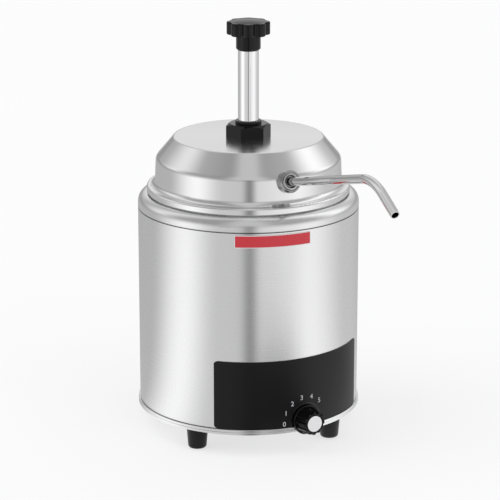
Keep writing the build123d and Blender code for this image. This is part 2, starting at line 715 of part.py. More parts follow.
def terminal_block():
    """Moulded block with a wire hole and a screw well for each way."""
    body = Box(TERMINAL_LENGTH, TERMINAL_WIDTH, TERMINAL_HEIGHT, align=STANDING)
    for offset in terminal_ways():
        well = Pos(offset, 0, TERMINAL_HEIGHT / 2)
        body -= well * rod(TERMINAL_SCREW_R + FIT, 0, TERMINAL_HEIGHT)
        body -= well * Rot(90, 0, 0) * Cylinder(WIRE_R + FIT, TERMINAL_WIDTH + 2)
    return Pos(*TERMINAL_POSITION, PAN_TOP) * body


def terminal_screws():
    """One clamp screw in each way of the terminal block."""
    low = PAN_TOP + TERMINAL_HEIGHT / 2 + WIRE_R + FIT
    screw = rod(TERMINAL_SCREW_R, low, PAN_TOP + TERMINAL_HEIGHT - 1)
    return [Pos(*TERMINAL_POSITION, 0) * Pos(offset, 0, 0) * screw for offset in terminal_ways()]


def earth_stud():
    """Welded stud on the pan with its nut."""
    stud = rod(EARTH_STUD_R, PAN_TOP, PAN_TOP + EARTH_STUD_HEIGHT)
    return Pos(*EARTH_POSITION, 0) * (stud + hexagon(3.5 * EARTH_STUD_R, PAN_TOP, PAN_TOP + 3))


def terminal_exit(way, side):
    """Where a wire leaves the terminal block: way 0 to 2, side -1 front or +1 back."""
    x, y = TERMINAL_POSITION
    height = PAN_TOP + TERMINAL_HEIGHT / 2
    return (x + terminal_ways()[way], y + side * (TERMINAL_WIDTH / 2 + WIRE_END_GAP), height)


def heater_pin(side):
    """Lower end of one cold pin of the heating tube."""
    turn = radians(HEATER_GAP / 2)
    low = heater_height() - HEATER_PIN_LENGTH - WIRE_END_GAP
    return (HEATER_RING_R * cos(turn), side * HEATER_RING_R * sin(turn), low)


def blade_end(side):
    """Free end of one of the thermostat's blades."""
    reach = THERMOSTAT_BACK - BLADE_LENGTH - WIRE_END_GAP
    end = (on_dial() * Pos(side * BLADE_SPACING / 2, 0, reach)).position
    return (end.X, end.Y, end.Z)


def wire_level():
    """Height at which the wires cross the bay, over the pan and under the clamp plate."""
    return PAN_TOP + 5.5


def live_wire():
    """From the terminal block to the thermostat's left blade."""
    start, end = terminal_exit(1, -1), blade_end(-1)
    level = wire_level()
    points = [
        start,
        (start[0], start[1] - 14, start[2]),
        (start[0] + 4, start[1] - 30, level),
        (end[0] - 12, end[1] + 30, level),
        (end[0], end[1] + 12, end[2]),
        end,
    ]
    return piped(points, WIRE_BEND_R, WIRE_R)


def heater_wire():
    """From the thermostat's right blade to the heating tube's front pin."""
    start, end = blade_end(1), heater_pin(-1)
    level = wire_level()
    points = [
        start,
        (start[0], start[1] + 12, start[2]),
        (start[0] + 16, start[1] + 20, level),
        (end[0], end[1] - 4, level),
        (end[0], end[1], level + 8),
        end,
    ]
    return piped(points, [5, 5, 3, 3], WIRE_R)


def neutral_wire():
    """From the terminal block to the heating tube's back pin."""
    start, end = terminal_exit(2, -1), heater_pin(1)
    level = wire_level()
    points = [
        start,
        (start[0], start[1] - 10, start[2]),
        (start[0] + 16, start[1] - 12, level),
        (end[0] - 8, end[1] + 16, level),
        (end[0], end[1], level + 8),
        end,
    ]
    return piped(points, [4, 4, 4, 3], WIRE_R)


def earth_wire():
    """From the terminal block to the earth stud."""
    start = terminal_exit(2, 1)
    height = PAN_TOP + 4.5
    end = (EARTH_POSITION[0] - EARTH_STUD_R - WIRE_END_GAP, EARTH_POSITION[1], height)
    points = [
        start,
        (start[0], start[1] + 8, start[2]),
        (start[0] + 12, start[1] + 12, height),
        (end[0] - 14, end[1] + 8, height),
        (end[0] - 8, end[1], height),
        end,
    ]
    return piped(points, [3, 3, 4, 3], WIRE_R)


# ---- base: cord entry, front sheet, red band --------------------------------------
def cord_bushing():
    """Snap-in bushing for the mains cord, its flange lying on the case wall."""
    inside = BODY_R - CASE_SHEET - ENTRY_DEPTH
    flange = rod(ENTRY_FLANGE_R, BODY_R - 2 * ENTRY_FLANGE_T, BODY_R + ENTRY_FLANGE_T)
    flange = fillet(flange.edges().filter_by(GeomType.CIRCLE).sort_by(Axis.Z)[-1], ENTRY_FLANGE_T / 2)
    flange = facing_back(ENTRY_Z) * flange - rod(BODY_R, 0, LAND)
    body = flange + facing_back(ENTRY_Z) * rod(ENTRY_SHANK_R, inside, BODY_R)
    return body - facing_back(ENTRY_Z) * rod(ENTRY_BORE_R, inside - 1, LIP_R + 2)


def cord_bushing_clip():
    """Spring ring that locks the bushing from inside the case wall."""
    outside = BODY_R - CASE_SHEET - 1
    flat = sqrt(outside ** 2 - ENTRY_CLIP_R ** 2) - FIT
    return facing_back(ENTRY_Z) * ring(ENTRY_SHANK_R, ENTRY_CLIP_R, flat - ENTRY_CLIP_T, flat)


def front_sheet():
    """Black printed sheet glued round the lower front of the case."""
    low = LIP_TOP + OVERLAY_GAP
    back = BODY_R + GLUE_T
    front = back + OVERLAY_T
    wrap = ring(back, front, low, low + OVERLAY_HEIGHT)
    width = 2 * front * sin(radians(OVERLAY_HALF_TURN))
    outline = RectangleRounded(width, OVERLAY_HEIGHT, OVERLAY_CORNER_R)
    middle = low + OVERLAY_HEIGHT / 2
    sheet = wrap & facing_front(middle) * extrude(outline, front + 1)
    return sheet - on_dial() * rod(BUSHING_R + FREE, 0, front + 1)


def red_band():
    """Plain red band under the seam."""
    high = SHELL_TOP - BAND_DROP
    back = BODY_R + GLUE_T
    wrap = ring(back, back + BAND_T, high - BAND_HEIGHT, high)
    reach = 2 * back
    turns = [radians(turn - 90) for turn in (BAND_START, BAND_END)]
    corners = [(reach * cos(turn), reach * sin(turn)) for turn in turns]
    wedge = make_face(Polyline((0, 0), *corners, close=True))
    return wrap & extrude(wedge, high + 1)


# ---- dial -----------------------------------------------------------------------
KNOB_BACK = BODY_R + KNOB_STAND_OFF
KNOB_SKIRT_FRONT = KNOB_BACK + KNOB_SKIRT_T
KNOB_NOSE = KNOB_SKIRT_FRONT + KNOB_GRIP_LENGTH
SHAFT_FRONT = KNOB_NOSE - KNOB_GRIP_LENGTH / 3


def dial_shaft():
    """Thermostat's shaft, with a flat for the knob."""
    middle = (THERMOSTAT_FACE + THERMOSTAT_BACK) / 2
    shaft = rod(SHAFT_R, middle + FREE, SHAFT_FRONT)
    corner = (Align.CENTER, Align.MIN, Align.MIN)
    flat = Box(4 * SHAFT_R, 2 * SHAFT_R, SHAFT_FRONT - KNOB_BACK, align=corner)
    shaft -= Pos(0, SHAFT_R - SHAFT_FLAT, KNOB_BACK) * flat
    return on_dial() * shaft


def dial_knob():
    """Fluted knob with a low skirt and a recess for its cap."""
    skirt = rod(KNOB_SKIRT_R, KNOB_BACK, KNOB_SKIRT_FRONT)
    skirt = fillet(skirt.edges().filter_by(GeomType.CIRCLE).sort_by(Axis.Z)[-1], KNOB_SKIRT_T / 3)
    grip = Pos(0, 0, KNOB_SKIRT_FRONT) * Cone(
        KNOB_BASE_R, KNOB_NOSE_R, KNOB_GRIP_LENGTH, align=STANDING
    )
    grip = fillet(grip.edges().filter_by(GeomType.CIRCLE).sort_by(Axis.Z)[-1], KNOB_NOSE_ROUND)
    lean = degrees(asin((KNOB_BASE_R - KNOB_NOSE_R) / KNOB_GRIP_LENGTH))
    offset = KNOB_BASE_R + KNOB_FLUTE_R - KNOB_FLUTE_DEPTH
    flute = Rot(0, -lean, 0) * rod(KNOB_FLUTE_R, FIT, 2 * KNOB_GRIP_LENGTH)
    flute = Pos(offset, 0, KNOB_SKIRT_FRONT) * flute
    for i in range(KNOB_LOBES):
        grip -= Rot(0, 0, 360 / KNOB_LOBES * (i + 0.5)) * flute
    knob = skirt + grip
    knob -= rod(KNOB_CAP_R + FIT, KNOB_NOSE - KNOB_CAP_T + KNOB_CAP_PROUD, KNOB_NOSE + 1)
    knob -= rod(SHAFT_R, KNOB_BACK - 1, SHAFT_FRONT)
    return on_dial() * knob


def dial_cap():
    """Light disc in the knob's nose."""
    low = KNOB_NOSE - KNOB_CAP_T + KNOB_CAP_PROUD
    cap = rod(KNOB_CAP_R, low, low + KNOB_CAP_T)
    cap = fillet(cap.edges().filter_by(GeomType.CIRCLE).sort_by(Axis.Z)[-1], 0.4)
    return on_dial() * cap


# ---- jar and seal ---------------------------------------------------------------
def sauce_jar():
    """Straight stainless jar that hangs in the vessel by its flange."""
    line = [
        (JAR_FLANGE_R, JAR_TOP),
        (JAR_R, JAR_TOP),
        (JAR_R, JAR_FLOOR),
        (0, JAR_FLOOR),
    ]
    return pressed_pot(line, JAR_CORNER_R, JAR_SHEET)


def lid_seal():
    """Rubber ring between the jar's flange and the lid; its lip centres it in the jar."""
    inner = JAR_R - FREE - SEAL_LIP_T
    outer = LID_RIM_R - LID_SHEET - FREE
    top = SEAL_FOOT + SEAL_HEIGHT
    return turned(
        [
            (inner, SEAL_FOOT - SEAL_LIP_DROP),
            (inner + SEAL_LIP_T, SEAL_FOOT - SEAL_LIP_DROP),
            (inner + SEAL_LIP_T, SEAL_FOOT),
            (outer, SEAL_FOOT),
            (outer, top),
            (inner, top),
        ]
    )


# ---- lid ------------------------------------------------------------------------
def lid_line():
    """Outer line of the lid, from the hole for the pump to the rim's lower edge."""
    points = [
        (HEAD_NECK_R + FIT, LID_TOP),
        (LID_TOP_R, LID_TOP),
        (LID_CREASE_R, LID_CREASE),
        (LID_WALL_FOOT_R, LEDGE_TOP),
        (LID_RIM_R, LEDGE_TOP),
        (LID_RIM_R, LID_RIM_FOOT),
    ]
    return points, [LID_TOP_ROUND, LID_CREASE_ROUND, LID_FOOT_ROUND, LID_RIM_ROUND]


def lid_cover():
    """Spun lid with a rim, an upright wall, a cone and a flat top."""
    cover = pressed(*lid_line(), LID_SHEET)
    hole = on_spout(-LOCKNUT_INSET, BOSS_PROUD + LOCKNUT_INSET, BOSS_SHANK_R + FIT)
    return cover - compass(LID_TURN) * hole


def lid_envelope():
    """Everything inside the lid's outer surface."""
    points, bends = lid_line()
    line = FilletPolyline(*points, radius=bends)
    closing = Polyline(points[-1], (0, LID_RIM_FOOT), (0, LID_TOP), points[0])
    return revolve(Plane.XZ * make_face([*line.edges(), *closing.edges()]), Axis.Z)


def spout_boss():
    """Round fitting in the lid's wall, its flange lying on the sheet."""
    flange = on_spout(-BOSS_R / 2, BOSS_PROUD, BOSS_R, BOSS_CHAMFER) - lid_envelope()
    shank = on_spout(-LOCKNUT_INSET, BOSS_PROUD - FIT, BOSS_SHANK_R)
    boss = flange + shank - on_spout(-2 * LOCKNUT_INSET, BOSS_PROUD + 1, SPOUT_R + FIT)
    pocket_r = SPOUT_NUT_R + SPOUT_NUT_SLACK
    return compass(LID_TURN) * (boss - on_spout(BOSS_PROUD - SPOUT_NUT_SET, BOSS_PROUD + 1, pocket_r))


def spout_locknut():
    """Nut on the fitting's shank inside the lid."""
    nut = on_spout(-LOCKNUT_INSET, LOCKNUT_T - LOCKNUT_INSET, LOCKNUT_R)
    return compass(LID_TURN) * (nut - on_spout(-2 * LOCKNUT_INSET, 0, BOSS_SHANK_R))


def spout_nut():
    """Gland ring round the spout, set in the fitting's face."""
    low, high = BOSS_PROUD - SPOUT_NUT_SET, BOSS_PROUD + SPOUT_NUT_PROUD
    nut = on_spout(low, high, SPOUT_NUT_R, SPOUT_NUT_CHAMFER)
    nut -= on_spout(low - 1, high + 1, SPOUT_R + FIT)
    return compass(LID_TURN) * (nut - on_spout(high - SPOUT_NUT_RECESS, high + 1, SPOUT_NUT_BORE_R))


def spout_line():
    """Corner points of the spout's centre line, from inside the lid to the outlet."""
    slope_up, slope_down = tan(radians(SPOUT_RISE)), tan(radians(SPOUT_FALL))
    corner_z = SPOUT_ROOT[1] + (SPOUT_CORNER_R - SPOUT_ROOT[0]) * slope_up
    outlet_z = corner_z - (SPOUT_REACH - SPOUT_CORNER_R) * slope_down
    return [spout_point(-SPOUT_TAIL), (SPOUT_CORNER_R, 0, corner_z), (SPOUT_REACH, 0, outlet_z)]


def spout_tube():
    """Bent spout, open at both ends."""
    return compass(LID_TURN) * piped(spout_line(), SPOUT_BEND_R, SPOUT_R, SPOUT_BORE_R)


def coupling():
    """Sleeve that joins the riser to the spout tube under the lid."""
    middle = -SPOUT_TAIL - FIT / 2
    low, high = middle - COUPLING_LENGTH / 2, middle + COUPLING_LENGTH / 2
    sleeve = on_spout(low, high - COUPLING_LENGTH / 4, COUPLING_R)
    sleeve -= on_spout(low - 1, middle, RISER_R)
    return compass(LID_TURN) * (sleeve - on_spout(middle - 1, high, SPOUT_R))


# ---- pump -----------------------------------------------------------------------
def pump_nut():
    """Black hexagon nut with a raised collar, screwed on to the pump head's neck."""
    top = LID_TOP + NUT_HEIGHT
    bar = hexagon(NUT_FLATS, LID_TOP, top)
    corner_r = NUT_FLATS / 2 / cos(radians(30))
    slope = (corner_r - NUT_FLATS / 2) / tan(radians(60))
    crown = turned(
        [
            (0, LID_TOP - 1),
            (corner_r + 1, LID_TOP - 1),
            (corner_r + 1, top - slope - NUT_CHAMFER - 1 / tan(radians(60))),
            (NUT_FLATS / 2 - NUT_CHAMFER, top),
            (0, top),
        ]
    )
    bar &= crown
    collar = rod(NUT_COLLAR_R, top, NUT_TOP)
    collar = fillet(collar.edges().filter_by(GeomType.CIRCLE).sort_by(Axis.Z)[-1], 0.8)
    nut = bar + collar - rod(TUBE_R + 2 * RUN, LID_TOP, NUT_TOP + 1)
    nut -= rod(HEAD_NECK_R, LID_TOP - 1, LID_TOP + HEAD_NECK_RISE + FIT)
    return compass(NUT_CORNER_TURN) * nut


def head_gasket():
    """Sealing ring between the pump head and the underside of the lid."""
    return ring(HEAD_NECK_R + FIT, HEAD_FLANGE_R, HEAD_FLANGE_TOP, LID_UNDER)


def pump_head():
    """Guide for the plunger tube, with the flange that clamps under the lid."""
    skirt_in = CYLINDER_OUT_R + FIT / 2
    skirt_out = skirt_in + SOCKET_WALL
    low = HEAD_FLOOR_UNDER - HEAD_SKIRT_DROP
    bore = TUBE_R + RUN
    head = turned(
        [
            (bore, HEAD_FLOOR_UNDER),
            (skirt_in, HEAD_FLOOR_UNDER),
            (skirt_in, low),
            (skirt_out, low),
            (skirt_out, HEAD_FLANGE_UNDER),
            (HEAD_FLANGE_R, HEAD_FLANGE_UNDER),
            (HEAD_FLANGE_R, HEAD_FLANGE_TOP),
            (HEAD_NECK_R, HEAD_FLANGE_TOP),
            (HEAD_NECK_R, LID_TOP + HEAD_NECK_RISE),
            (bore, LID_TOP + HEAD_NECK_RISE),
        ]
    )
    return head - rod(TUBE_R + RUN + ROD_SEAL_T, *rod_seal_span())


def rod_seal_span():
    """Lower and upper height of the seal in the pump head."""
    middle = (HEAD_FLOOR_UNDER + HEAD_FLANGE_TOP) / 2
    return middle - ROD_SEAL_HEIGHT / 2, middle + ROD_SEAL_HEIGHT / 2


def rod_seal():
    """Rubber ring that wipes the plunger tube."""
    return ring(TUBE_R + RUN / 2, TUBE_R + RUN + ROD_SEAL_T, *rod_seal_span())


def pump_cylinder():
    """Smooth tube in which the piston slides."""
    return ring(CYLINDER_R, CYLINDER_OUT_R, RETAINER_TOP, HEAD_FLOOR_UNDER)


def ball_retainer():
    """Disc under the cylinder that stops the inlet ball's rise."""
    return ring(RETAINER_HOLE_R, CYLINDER_OUT_R, RETAINER_UNDER, RETAINER_TOP)


def valve_body():
    """Pump foot: inlet seat, cross passage and the riser's boss."""
    body = rod(VALVE_R, VALVE_UNDER, SOCKET_TOP)
    web_top = RETAINER_UNDER
    web = Box(RISER_REACH, WEB_WIDTH, web_top - VALVE_UNDER, align=(Align.MIN, Align.CENTER, Align.MIN))
    body += Pos(0, 0, VALVE_UNDER) * web
    riser = Pos(RISER_REACH, 0, 0)
    body += riser * rod(RISER_BOSS_R, VALVE_UNDER, RISER_SOCKET_TOP)
    body -= rod(INLET_HOLE_R, VALVE_UNDER - 1, INLET_SEAT + 1)
    body -= rod(INLET_CHAMBER_R, INLET_SEAT, RETAINER_UNDER + 1)
    body -= rod(CYLINDER_OUT_R + FIT / 2, RETAINER_UNDER, SOCKET_TOP + 1)
    body -= Pos(0, 0, PASSAGE_Z) * Rot(0, 90, 0) * rod(PASSAGE_R, 0, RISER_REACH)
    body -= riser * rod(OUTLET_HOLE_R, PASSAGE_Z - PASSAGE_R, OUTLET_SEAT + 1)
    body -= riser * rod(OUTLET_BALL_R + BALL_SLACK, OUTLET_SEAT, RISER_FOOT + 1)
    body -= riser * rod(RISER_R + FIT, RISER_FOOT, RISER_SOCKET_TOP + 1)
    return compass(LID_TURN) * body


def inlet_ball():
    """Steel ball that closes the inlet on the way down."""
    return Pos(0, 0, INLET_BALL_Z) * Sphere(INLET_BALL_R)


def outlet_ball():
    """Steel ball that stops the sauce from running back."""
    return compass(LID_TURN) * Pos(RISER_REACH, 0, OUTLET_BALL_Z) * Sphere(OUTLET_BALL_R)


def riser_tube():
    """Delivery tube from the pump foot up to the spout's coupling."""
    corner_z = SPOUT_ROOT[1] - (SPOUT_ROOT[0] - RISER_REACH) * tan(radians(SPOUT_RISE))
    points = [
        (RISER_REACH, 0, RISER_FOOT),
        (RISER_REACH, 0, corner_z),
        spout_point(-SPOUT_TAIL - FIT),
    ]
    return compass(LID_TURN) * piped(points, RISER_BEND_R, RISER_R, RISER_BORE_R)


def riser_union():
    """Gland nut that holds the riser in the pump foot."""
    low = RISER_SOCKET_TOP
    high = low + UNION_HEIGHT
    nut = hexagon(2 * UNION_R, low, high) - rod(RISER_R + FIT, low - 1, high + 1)
    return compass(LID_TURN) * Pos(RISER_REACH, 0, 0) * nut


# ---- plunger --------------------------------------------------------------------
def plunger_tube():
    """Bright tube between the star knob and the piston."""
    return ring(TUBE_R - TUBE_WALL, TUBE_R, PISTON_TOP, STAR_DISC_UNDER - FIT)


def stop_collar():
    """Ring on the plunger tube that meets the pump head at the top of the stroke."""
    top = HEAD_FLOOR_UNDER - FREE
    return ring(TUBE_R, STOP_COLLAR_R, top - STOP_COLLAR_HEIGHT, top)


def piston():
    """Piston with a groove for its seal."""
    groove_low, groove_high = piston_groove()
    outer = CYLINDER_R - PISTON_SLACK
    body = ring(PISTON_SCREW_R, outer, PISTON_UNDER, PISTON_TOP)
    return body - ring(outer - PISTON_GROOVE_DEPTH, outer + 1, groove_low, groove_high)


def piston_groove():
    """Lower and upper height of the piston's groove."""
    middle = (PISTON_UNDER + PISTON_TOP) / 2
    return middle - PISTON_GROOVE_HEIGHT / 2, middle + PISTON_GROOVE_HEIGHT / 2


def piston_seal():
    """Sliding seal in the piston's groove."""
    low, high = piston_groove()
    inner = CYLINDER_R - PISTON_SLACK - PISTON_GROOVE_DEPTH
    return ring(inner, CYLINDER_R - RUN, low, high)


def tube_plug():
    """Threaded plug in the lower end of the plunger tube."""
    return ring(PISTON_SCREW_R, TUBE_R - TUBE_WALL, PISTON_TOP, PISTON_TOP + PLUG_LENGTH)


def piston_screw():
    """Screw that holds the piston on the tube."""
    head = rod(PISTON_SCREW_HEAD_R, PISTON_UNDER - PISTON_SCREW_HEAD_T, PISTON_UNDER)
    return head + rod(PISTON_SCREW_R, PISTON_UNDER, PISTON_TOP + PLUG_LENGTH - 1)


def return_spring():
    """Compression spring between the pump foot and the piston."""
    low = RETAINER_TOP + SPRING_WIRE_R + FREE
    high = PISTON_UNDER - SPRING_WIRE_R - FREE
    height = high - low
    path = Helix(pitch=height / SPRING_TURNS, height=height, radius=SPRING_R)
    end = Plane(origin=path @ 0, z_dir=path % 0)
    return Pos(0, 0, low) * sweep(end * Circle(SPRING_WIRE_R), path=path, is_frenet=True)


def star_knob():
    """Eight-lobed grip with a hub below and a low crown on top."""
    lobe_centre = STAR_R - STAR_LOBE_R
    outline = Circle(lobe_centre)
    for place in PolarLocations(lobe_centre, STAR_LOBES, start_angle=STAR_TURN - 90):
        outline += place * Circle(STAR_LOBE_R)
    valleys = outline.vertices().filter_by(lambda v: hypot(v.X, v.Y) < lobe_centre + STAR_LOBE_R - FIT)
    outline = fillet(valleys, STAR_VALLEY_R)
    disc = extrude(outline, STAR_DISC_HEIGHT)
    rims = disc.faces().filter_by(Axis.Z).edges()
    disc = fillet(rims, STAR_EDGE_ROUND)
    knob = Pos(0, 0, STAR_DISC_UNDER) * disc
    knob += turned(
        [
            (0, STAR_UNDER),
            (STAR_HUB_R - STAR_HUB_CHAMFER, STAR_UNDER),
            (STAR_HUB_R, STAR_UNDER + STAR_HUB_CHAMFER),
            (STAR_HUB_R, STAR_DISC_UNDER + 1),
            (0, STAR_DISC_UNDER + 1),
        ]
    )
    dome_r = (STAR_CROWN_R ** 2 + STAR_CROWN_HEIGHT ** 2) / (2 * STAR_CROWN_HEIGHT)
    dome = Pos(0, 0, STAR_TOP - dome_r) * Sphere(dome_r)
    dome &= rod(STAR_CROWN_R, STAR_DISC_TOP - FIT, STAR_TOP + 1)
    knob += dome
    knob -= rod(TUBE_R, STAR_UNDER - 1, STAR_DISC_UNDER)
    return knob - rod(STAR_STUD_R, STAR_DISC_UNDER - 1, STAR_DISC_UNDER + STAR_STUD_RISE)


def knob_stud():
    """Plug in the tube's upper end with the stud that the star knob screws on to."""
    plug = rod(TUBE_R - TUBE_WALL, STAR_UNDER, STAR_DISC_UNDER - FIT)
    return plug + rod(STAR_STUD_R, STAR_DISC_UNDER - FIT, STAR_DISC_UNDER + STAR_STUD_RISE - FIT)


# ---- writing --------------------------------------------------------------------
def group(solids):
    """Several separate solids in one sub-part."""
    return Compound(children=list(solids))


def model():
    """Every sub-part by its name."""
    parts = {
        "base_pan": base_pan(),
        "outer_shell": outer_shell(),
        "top_collar": top_collar(),
        "water_vessel": water_vessel(),
        "insulation_wrap": insulation_wrap(),
        "heating_element": heating_element(),
        "heater_clamp": heater_clamp(),
        "tie_studs": group(tie_studs()),
        "tie_nuts": group(tie_nuts()),
        "thermal_cutout": thermal_cutout(),
        "thermostat": thermostat(),
        "thermostat_screws": group(thermostat_screws()),
        "sensor_bulb": sensor_bulb(),
        "bulb_clip": bulb_clip(),
        "capillary": capillary(),
        "terminal_block": terminal_block(),
        "terminal_screws": group(terminal_screws()),
        "earth_stud": earth_stud(),
        "bay_wires": group([live_wire(), heater_wire(), neutral_wire(), earth_wire()]),
        "cord_bushing": cord_bushing(),
        "cord_bushing_clip": cord_bushing_clip(),
        "front_sheet": front_sheet(),
        "red_band": red_band(),
        "dial_shaft": dial_shaft(),
        "dial_knob": dial_knob(),
        "dial_cap": dial_cap(),
        "sauce_jar": sauce_jar(),
        "lid_seal": lid_seal(),
        "lid_cover": lid_cover(),
        "spout_boss": spout_boss(),
        "spout_locknut": spout_locknut(),
        "spout_nut": spout_nut(),
        "spout_tube": spout_tube(),
        "spout_coupling": coupling(),
        "pump_nut": pump_nut(),
        "head_gasket": head_gasket(),
        "pump_head": pump_head(),
        "rod_seal": rod_seal(),
        "pump_cylinder": pump_cylinder(),
        "ball_retainer": ball_retainer(),
        "valve_body": valve_body(),
        "riser_tube": riser_tube(),
        "riser_union": riser_union(),
        "inlet_ball": inlet_ball(),
        "outlet_ball": outlet_ball(),
        "plunger_tube": plunger_tube(),
        "stop_collar": stop_collar(),
        "piston": piston(),
        "piston_seal": piston_seal(),
        "tube_plug": tube_plug(),
        "piston_screw": piston_screw(),
        "return_spring": return_spring(),
        "star_knob": star_knob(),
        "knob_stud": knob_stud(),
    }
    places = around(FOOT_COUNT, FOOT_CIRCLE_R, FOOT_FIRST_TURN)
    for number, place in enumerate(places, start=1):
        parts[f"foot_{number}"] = place * (rubber_foot() - foot_stud())
    parts["foot_studs"] = group(place * foot_stud() for place in places)
    parts["foot_nuts"] = group(place * foot_nut() for place in places)
    return parts


os.makedirs("parts", exist_ok=True)
for name, shape in model().items():
    export_step(shape, f"parts/{name}.step")
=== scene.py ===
"""Looks of a hot topping warmer with a push pump, built round its fixed frame.

Sizes are in millimetres unless a name says otherwise. +Z is up, the origin is on the
table under the middle of the case, and the front with its dial looks along -Y. Bearings
are in degrees from the front, towards +X.
"""
import json
import logging
import math
from abc import ABC, abstractmethod
from dataclasses import dataclass, field, replace
from enum import Enum
from typing import Callable, ClassVar

import bmesh
import bpy
from mathutils import Matrix, Vector

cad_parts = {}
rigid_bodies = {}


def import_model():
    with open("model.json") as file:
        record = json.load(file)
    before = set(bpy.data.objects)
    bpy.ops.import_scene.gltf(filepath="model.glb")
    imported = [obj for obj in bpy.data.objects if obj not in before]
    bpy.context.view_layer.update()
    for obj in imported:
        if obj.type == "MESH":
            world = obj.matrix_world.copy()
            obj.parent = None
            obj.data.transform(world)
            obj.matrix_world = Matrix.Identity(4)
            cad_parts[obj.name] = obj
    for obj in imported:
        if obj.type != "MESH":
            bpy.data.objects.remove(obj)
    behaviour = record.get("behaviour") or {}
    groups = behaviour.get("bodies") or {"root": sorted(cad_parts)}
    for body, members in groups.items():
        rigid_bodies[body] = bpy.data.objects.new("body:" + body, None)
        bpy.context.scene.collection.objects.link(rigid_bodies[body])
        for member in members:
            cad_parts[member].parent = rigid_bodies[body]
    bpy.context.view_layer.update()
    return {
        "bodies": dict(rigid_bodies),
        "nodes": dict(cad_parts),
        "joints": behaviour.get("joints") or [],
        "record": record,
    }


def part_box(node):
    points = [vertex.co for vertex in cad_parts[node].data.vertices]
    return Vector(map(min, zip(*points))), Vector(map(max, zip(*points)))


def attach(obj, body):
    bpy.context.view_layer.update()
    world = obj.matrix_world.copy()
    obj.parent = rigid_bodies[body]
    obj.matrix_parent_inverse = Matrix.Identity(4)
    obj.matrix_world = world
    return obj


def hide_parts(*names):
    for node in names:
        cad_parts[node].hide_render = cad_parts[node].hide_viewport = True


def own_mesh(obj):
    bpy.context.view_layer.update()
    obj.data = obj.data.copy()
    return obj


MM = 0.001  # a millimetre in metres
FULL_TURN = 2 * math.pi
SMOOTH_ANGLE = 34.0  # edges sharper than this, in degrees, stay sharp
WELD = 1e-6  # metres within which two points become one
SAME_SPOT = 1e-3  # millimetres within which a point lies on its corner
TEXT_DEPTH = 0.5  # half the depth of raw text, which makes it one unit deep
SEAM_SHADE_REACH = 0.6  # how far above the case wall the collar's painted seam shade starts to fade
# colour of the painted shade in the seams, standing in for the shadow that falls there
SEAM_SHADE_COLOUR = (0.10, 0.10, 0.105, 1)

Corner = tuple[float, float]
Profile = list[Corner]
Colour = tuple[float, float, float]
Signal = bpy.types.NodeSocket | float | tuple[float, ...]
GroupMaker = Callable[[], bpy.types.NodeTree]
log = logging.getLogger("warmer")


class Body(Enum):
    """The moving bodies of the frame that carry the scene's own pieces."""

    BASE = "base"
    DIAL = "dial"
    LID = "lid"


# ---- modelling ------------------------------------------------------------------
def clear_selection() -> None:
    """Deselect every object, so that an operator acts on the next one alone."""
    bpy.ops.object.select_all(action="DESELECT")


def pick(*objects: bpy.types.Object) -> None:
    """Select these objects alone and make the first one active.

    Args:
        objects: The objects to select.
    """
    clear_selection()
    for obj in objects:
        obj.select_set(True)
    bpy.context.view_layer.objects.active = objects[0]


def editing(on: bool) -> None:
    """Enter or leave edit mode on the active object."""
    bpy.ops.object.mode_set(mode="EDIT" if on else "OBJECT")


def near(at: Vector, corner: Corner) -> bool:
    """Whether a point of the XZ plane lies on this corner of an outline."""
    return abs(at.x - corner[0]) < SAME_SPOT and abs(at.z - corner[1]) < SAME_SPOT


def select_corners(*corners: Corner) -> None:
    """Select the points of the edited outline that lie on these corners.

    Args:
        corners: The corners, each as its radius and height.
    """
    bpy.ops.mesh.select_mode(type="VERT")
    bpy.ops.mesh.select_all(action="DESELECT")
    mesh = bmesh.from_edit_mesh(bpy.context.active_object.data)
    for vertex in mesh.verts:
        if any(near(vertex.co / MM, corner) for corner in corners):
            vertex.select_set(True)
    mesh.select_flush(True)
    bmesh.update_edit_mesh(bpy.context.active_object.data)


def tidy_mesh() -> None:
    """Merge doubles and point all faces of the edited mesh outwards."""
    bpy.ops.mesh.select_mode(type="VERT")
    bpy.ops.mesh.select_all(action="SELECT")
    bpy.ops.mesh.remove_doubles(threshold=WELD)
    bpy.ops.mesh.normals_make_consistent(inside=False)


def smooth(obj: bpy.types.Object) -> None:
    """Shade a piece smoothly, except across its sharp edges."""
    pick(obj)
    bpy.ops.object.shade_smooth_by_angle(angle=math.radians(SMOOTH_ANGLE))


def apply_modifier(obj: bpy.types.Object, kind: str, **settings: object) -> None:
    """Add a modifier with these settings and apply it at once.

    Args:
        obj: The object to shape.
        kind: The modifier's type, such as BEVEL.
        settings: Its values.
    """
    pick(obj)
    modifier = obj.modifiers.new(kind.title(), kind)
    for key, value in settings.items():
        setattr(modifier, key, value)
    bpy.ops.object.modifier_apply(modifier=modifier.name)


def place(obj: bpy.types.Object, matrix: Matrix) -> bpy.types.Object:
    """Move an object and put its place into its mesh.

    Args:
        obj: The object to move.
        matrix: The move, in metres.

    Returns:
        The same object, at the origin.
    """
    pick(obj)
    obj.matrix_world = matrix @ obj.matrix_world
    bpy.ops.object.transform_apply(location=True, rotation=True, scale=True)
    return obj


def join(*objects: bpy.types.Object) -> bpy.types.Object:
    """Join several meshes.

    Args:
        objects: The objects to join.

    Returns:
        The first one, which holds them all.
    """
    pick(*objects)
    bpy.ops.object.join()
    return objects[0]


def bearing(turn: float) -> Matrix:
    """The turn about Z that brings +X to this bearing."""
    return Matrix.Rotation(math.radians(turn - 90), 4, "Z")


def corner_offset(before: Corner, corner: Corner, after: Corner, radius: float) -> float:
    """How far from a corner the arc that rounds it starts.

    Args:
        before: The outline's corner before this one.
        corner: The corner that is rounded.
        after: The corner after it.
        radius: The arc's radius.

    Returns:
        The distance along either line.
    """
    a = Vector((before[0] - corner[0], before[1] - corner[1]))
    b = Vector((after[0] - corner[0], after[1] - corner[1]))
    return radius / math.tan(a.angle(b) / 2)


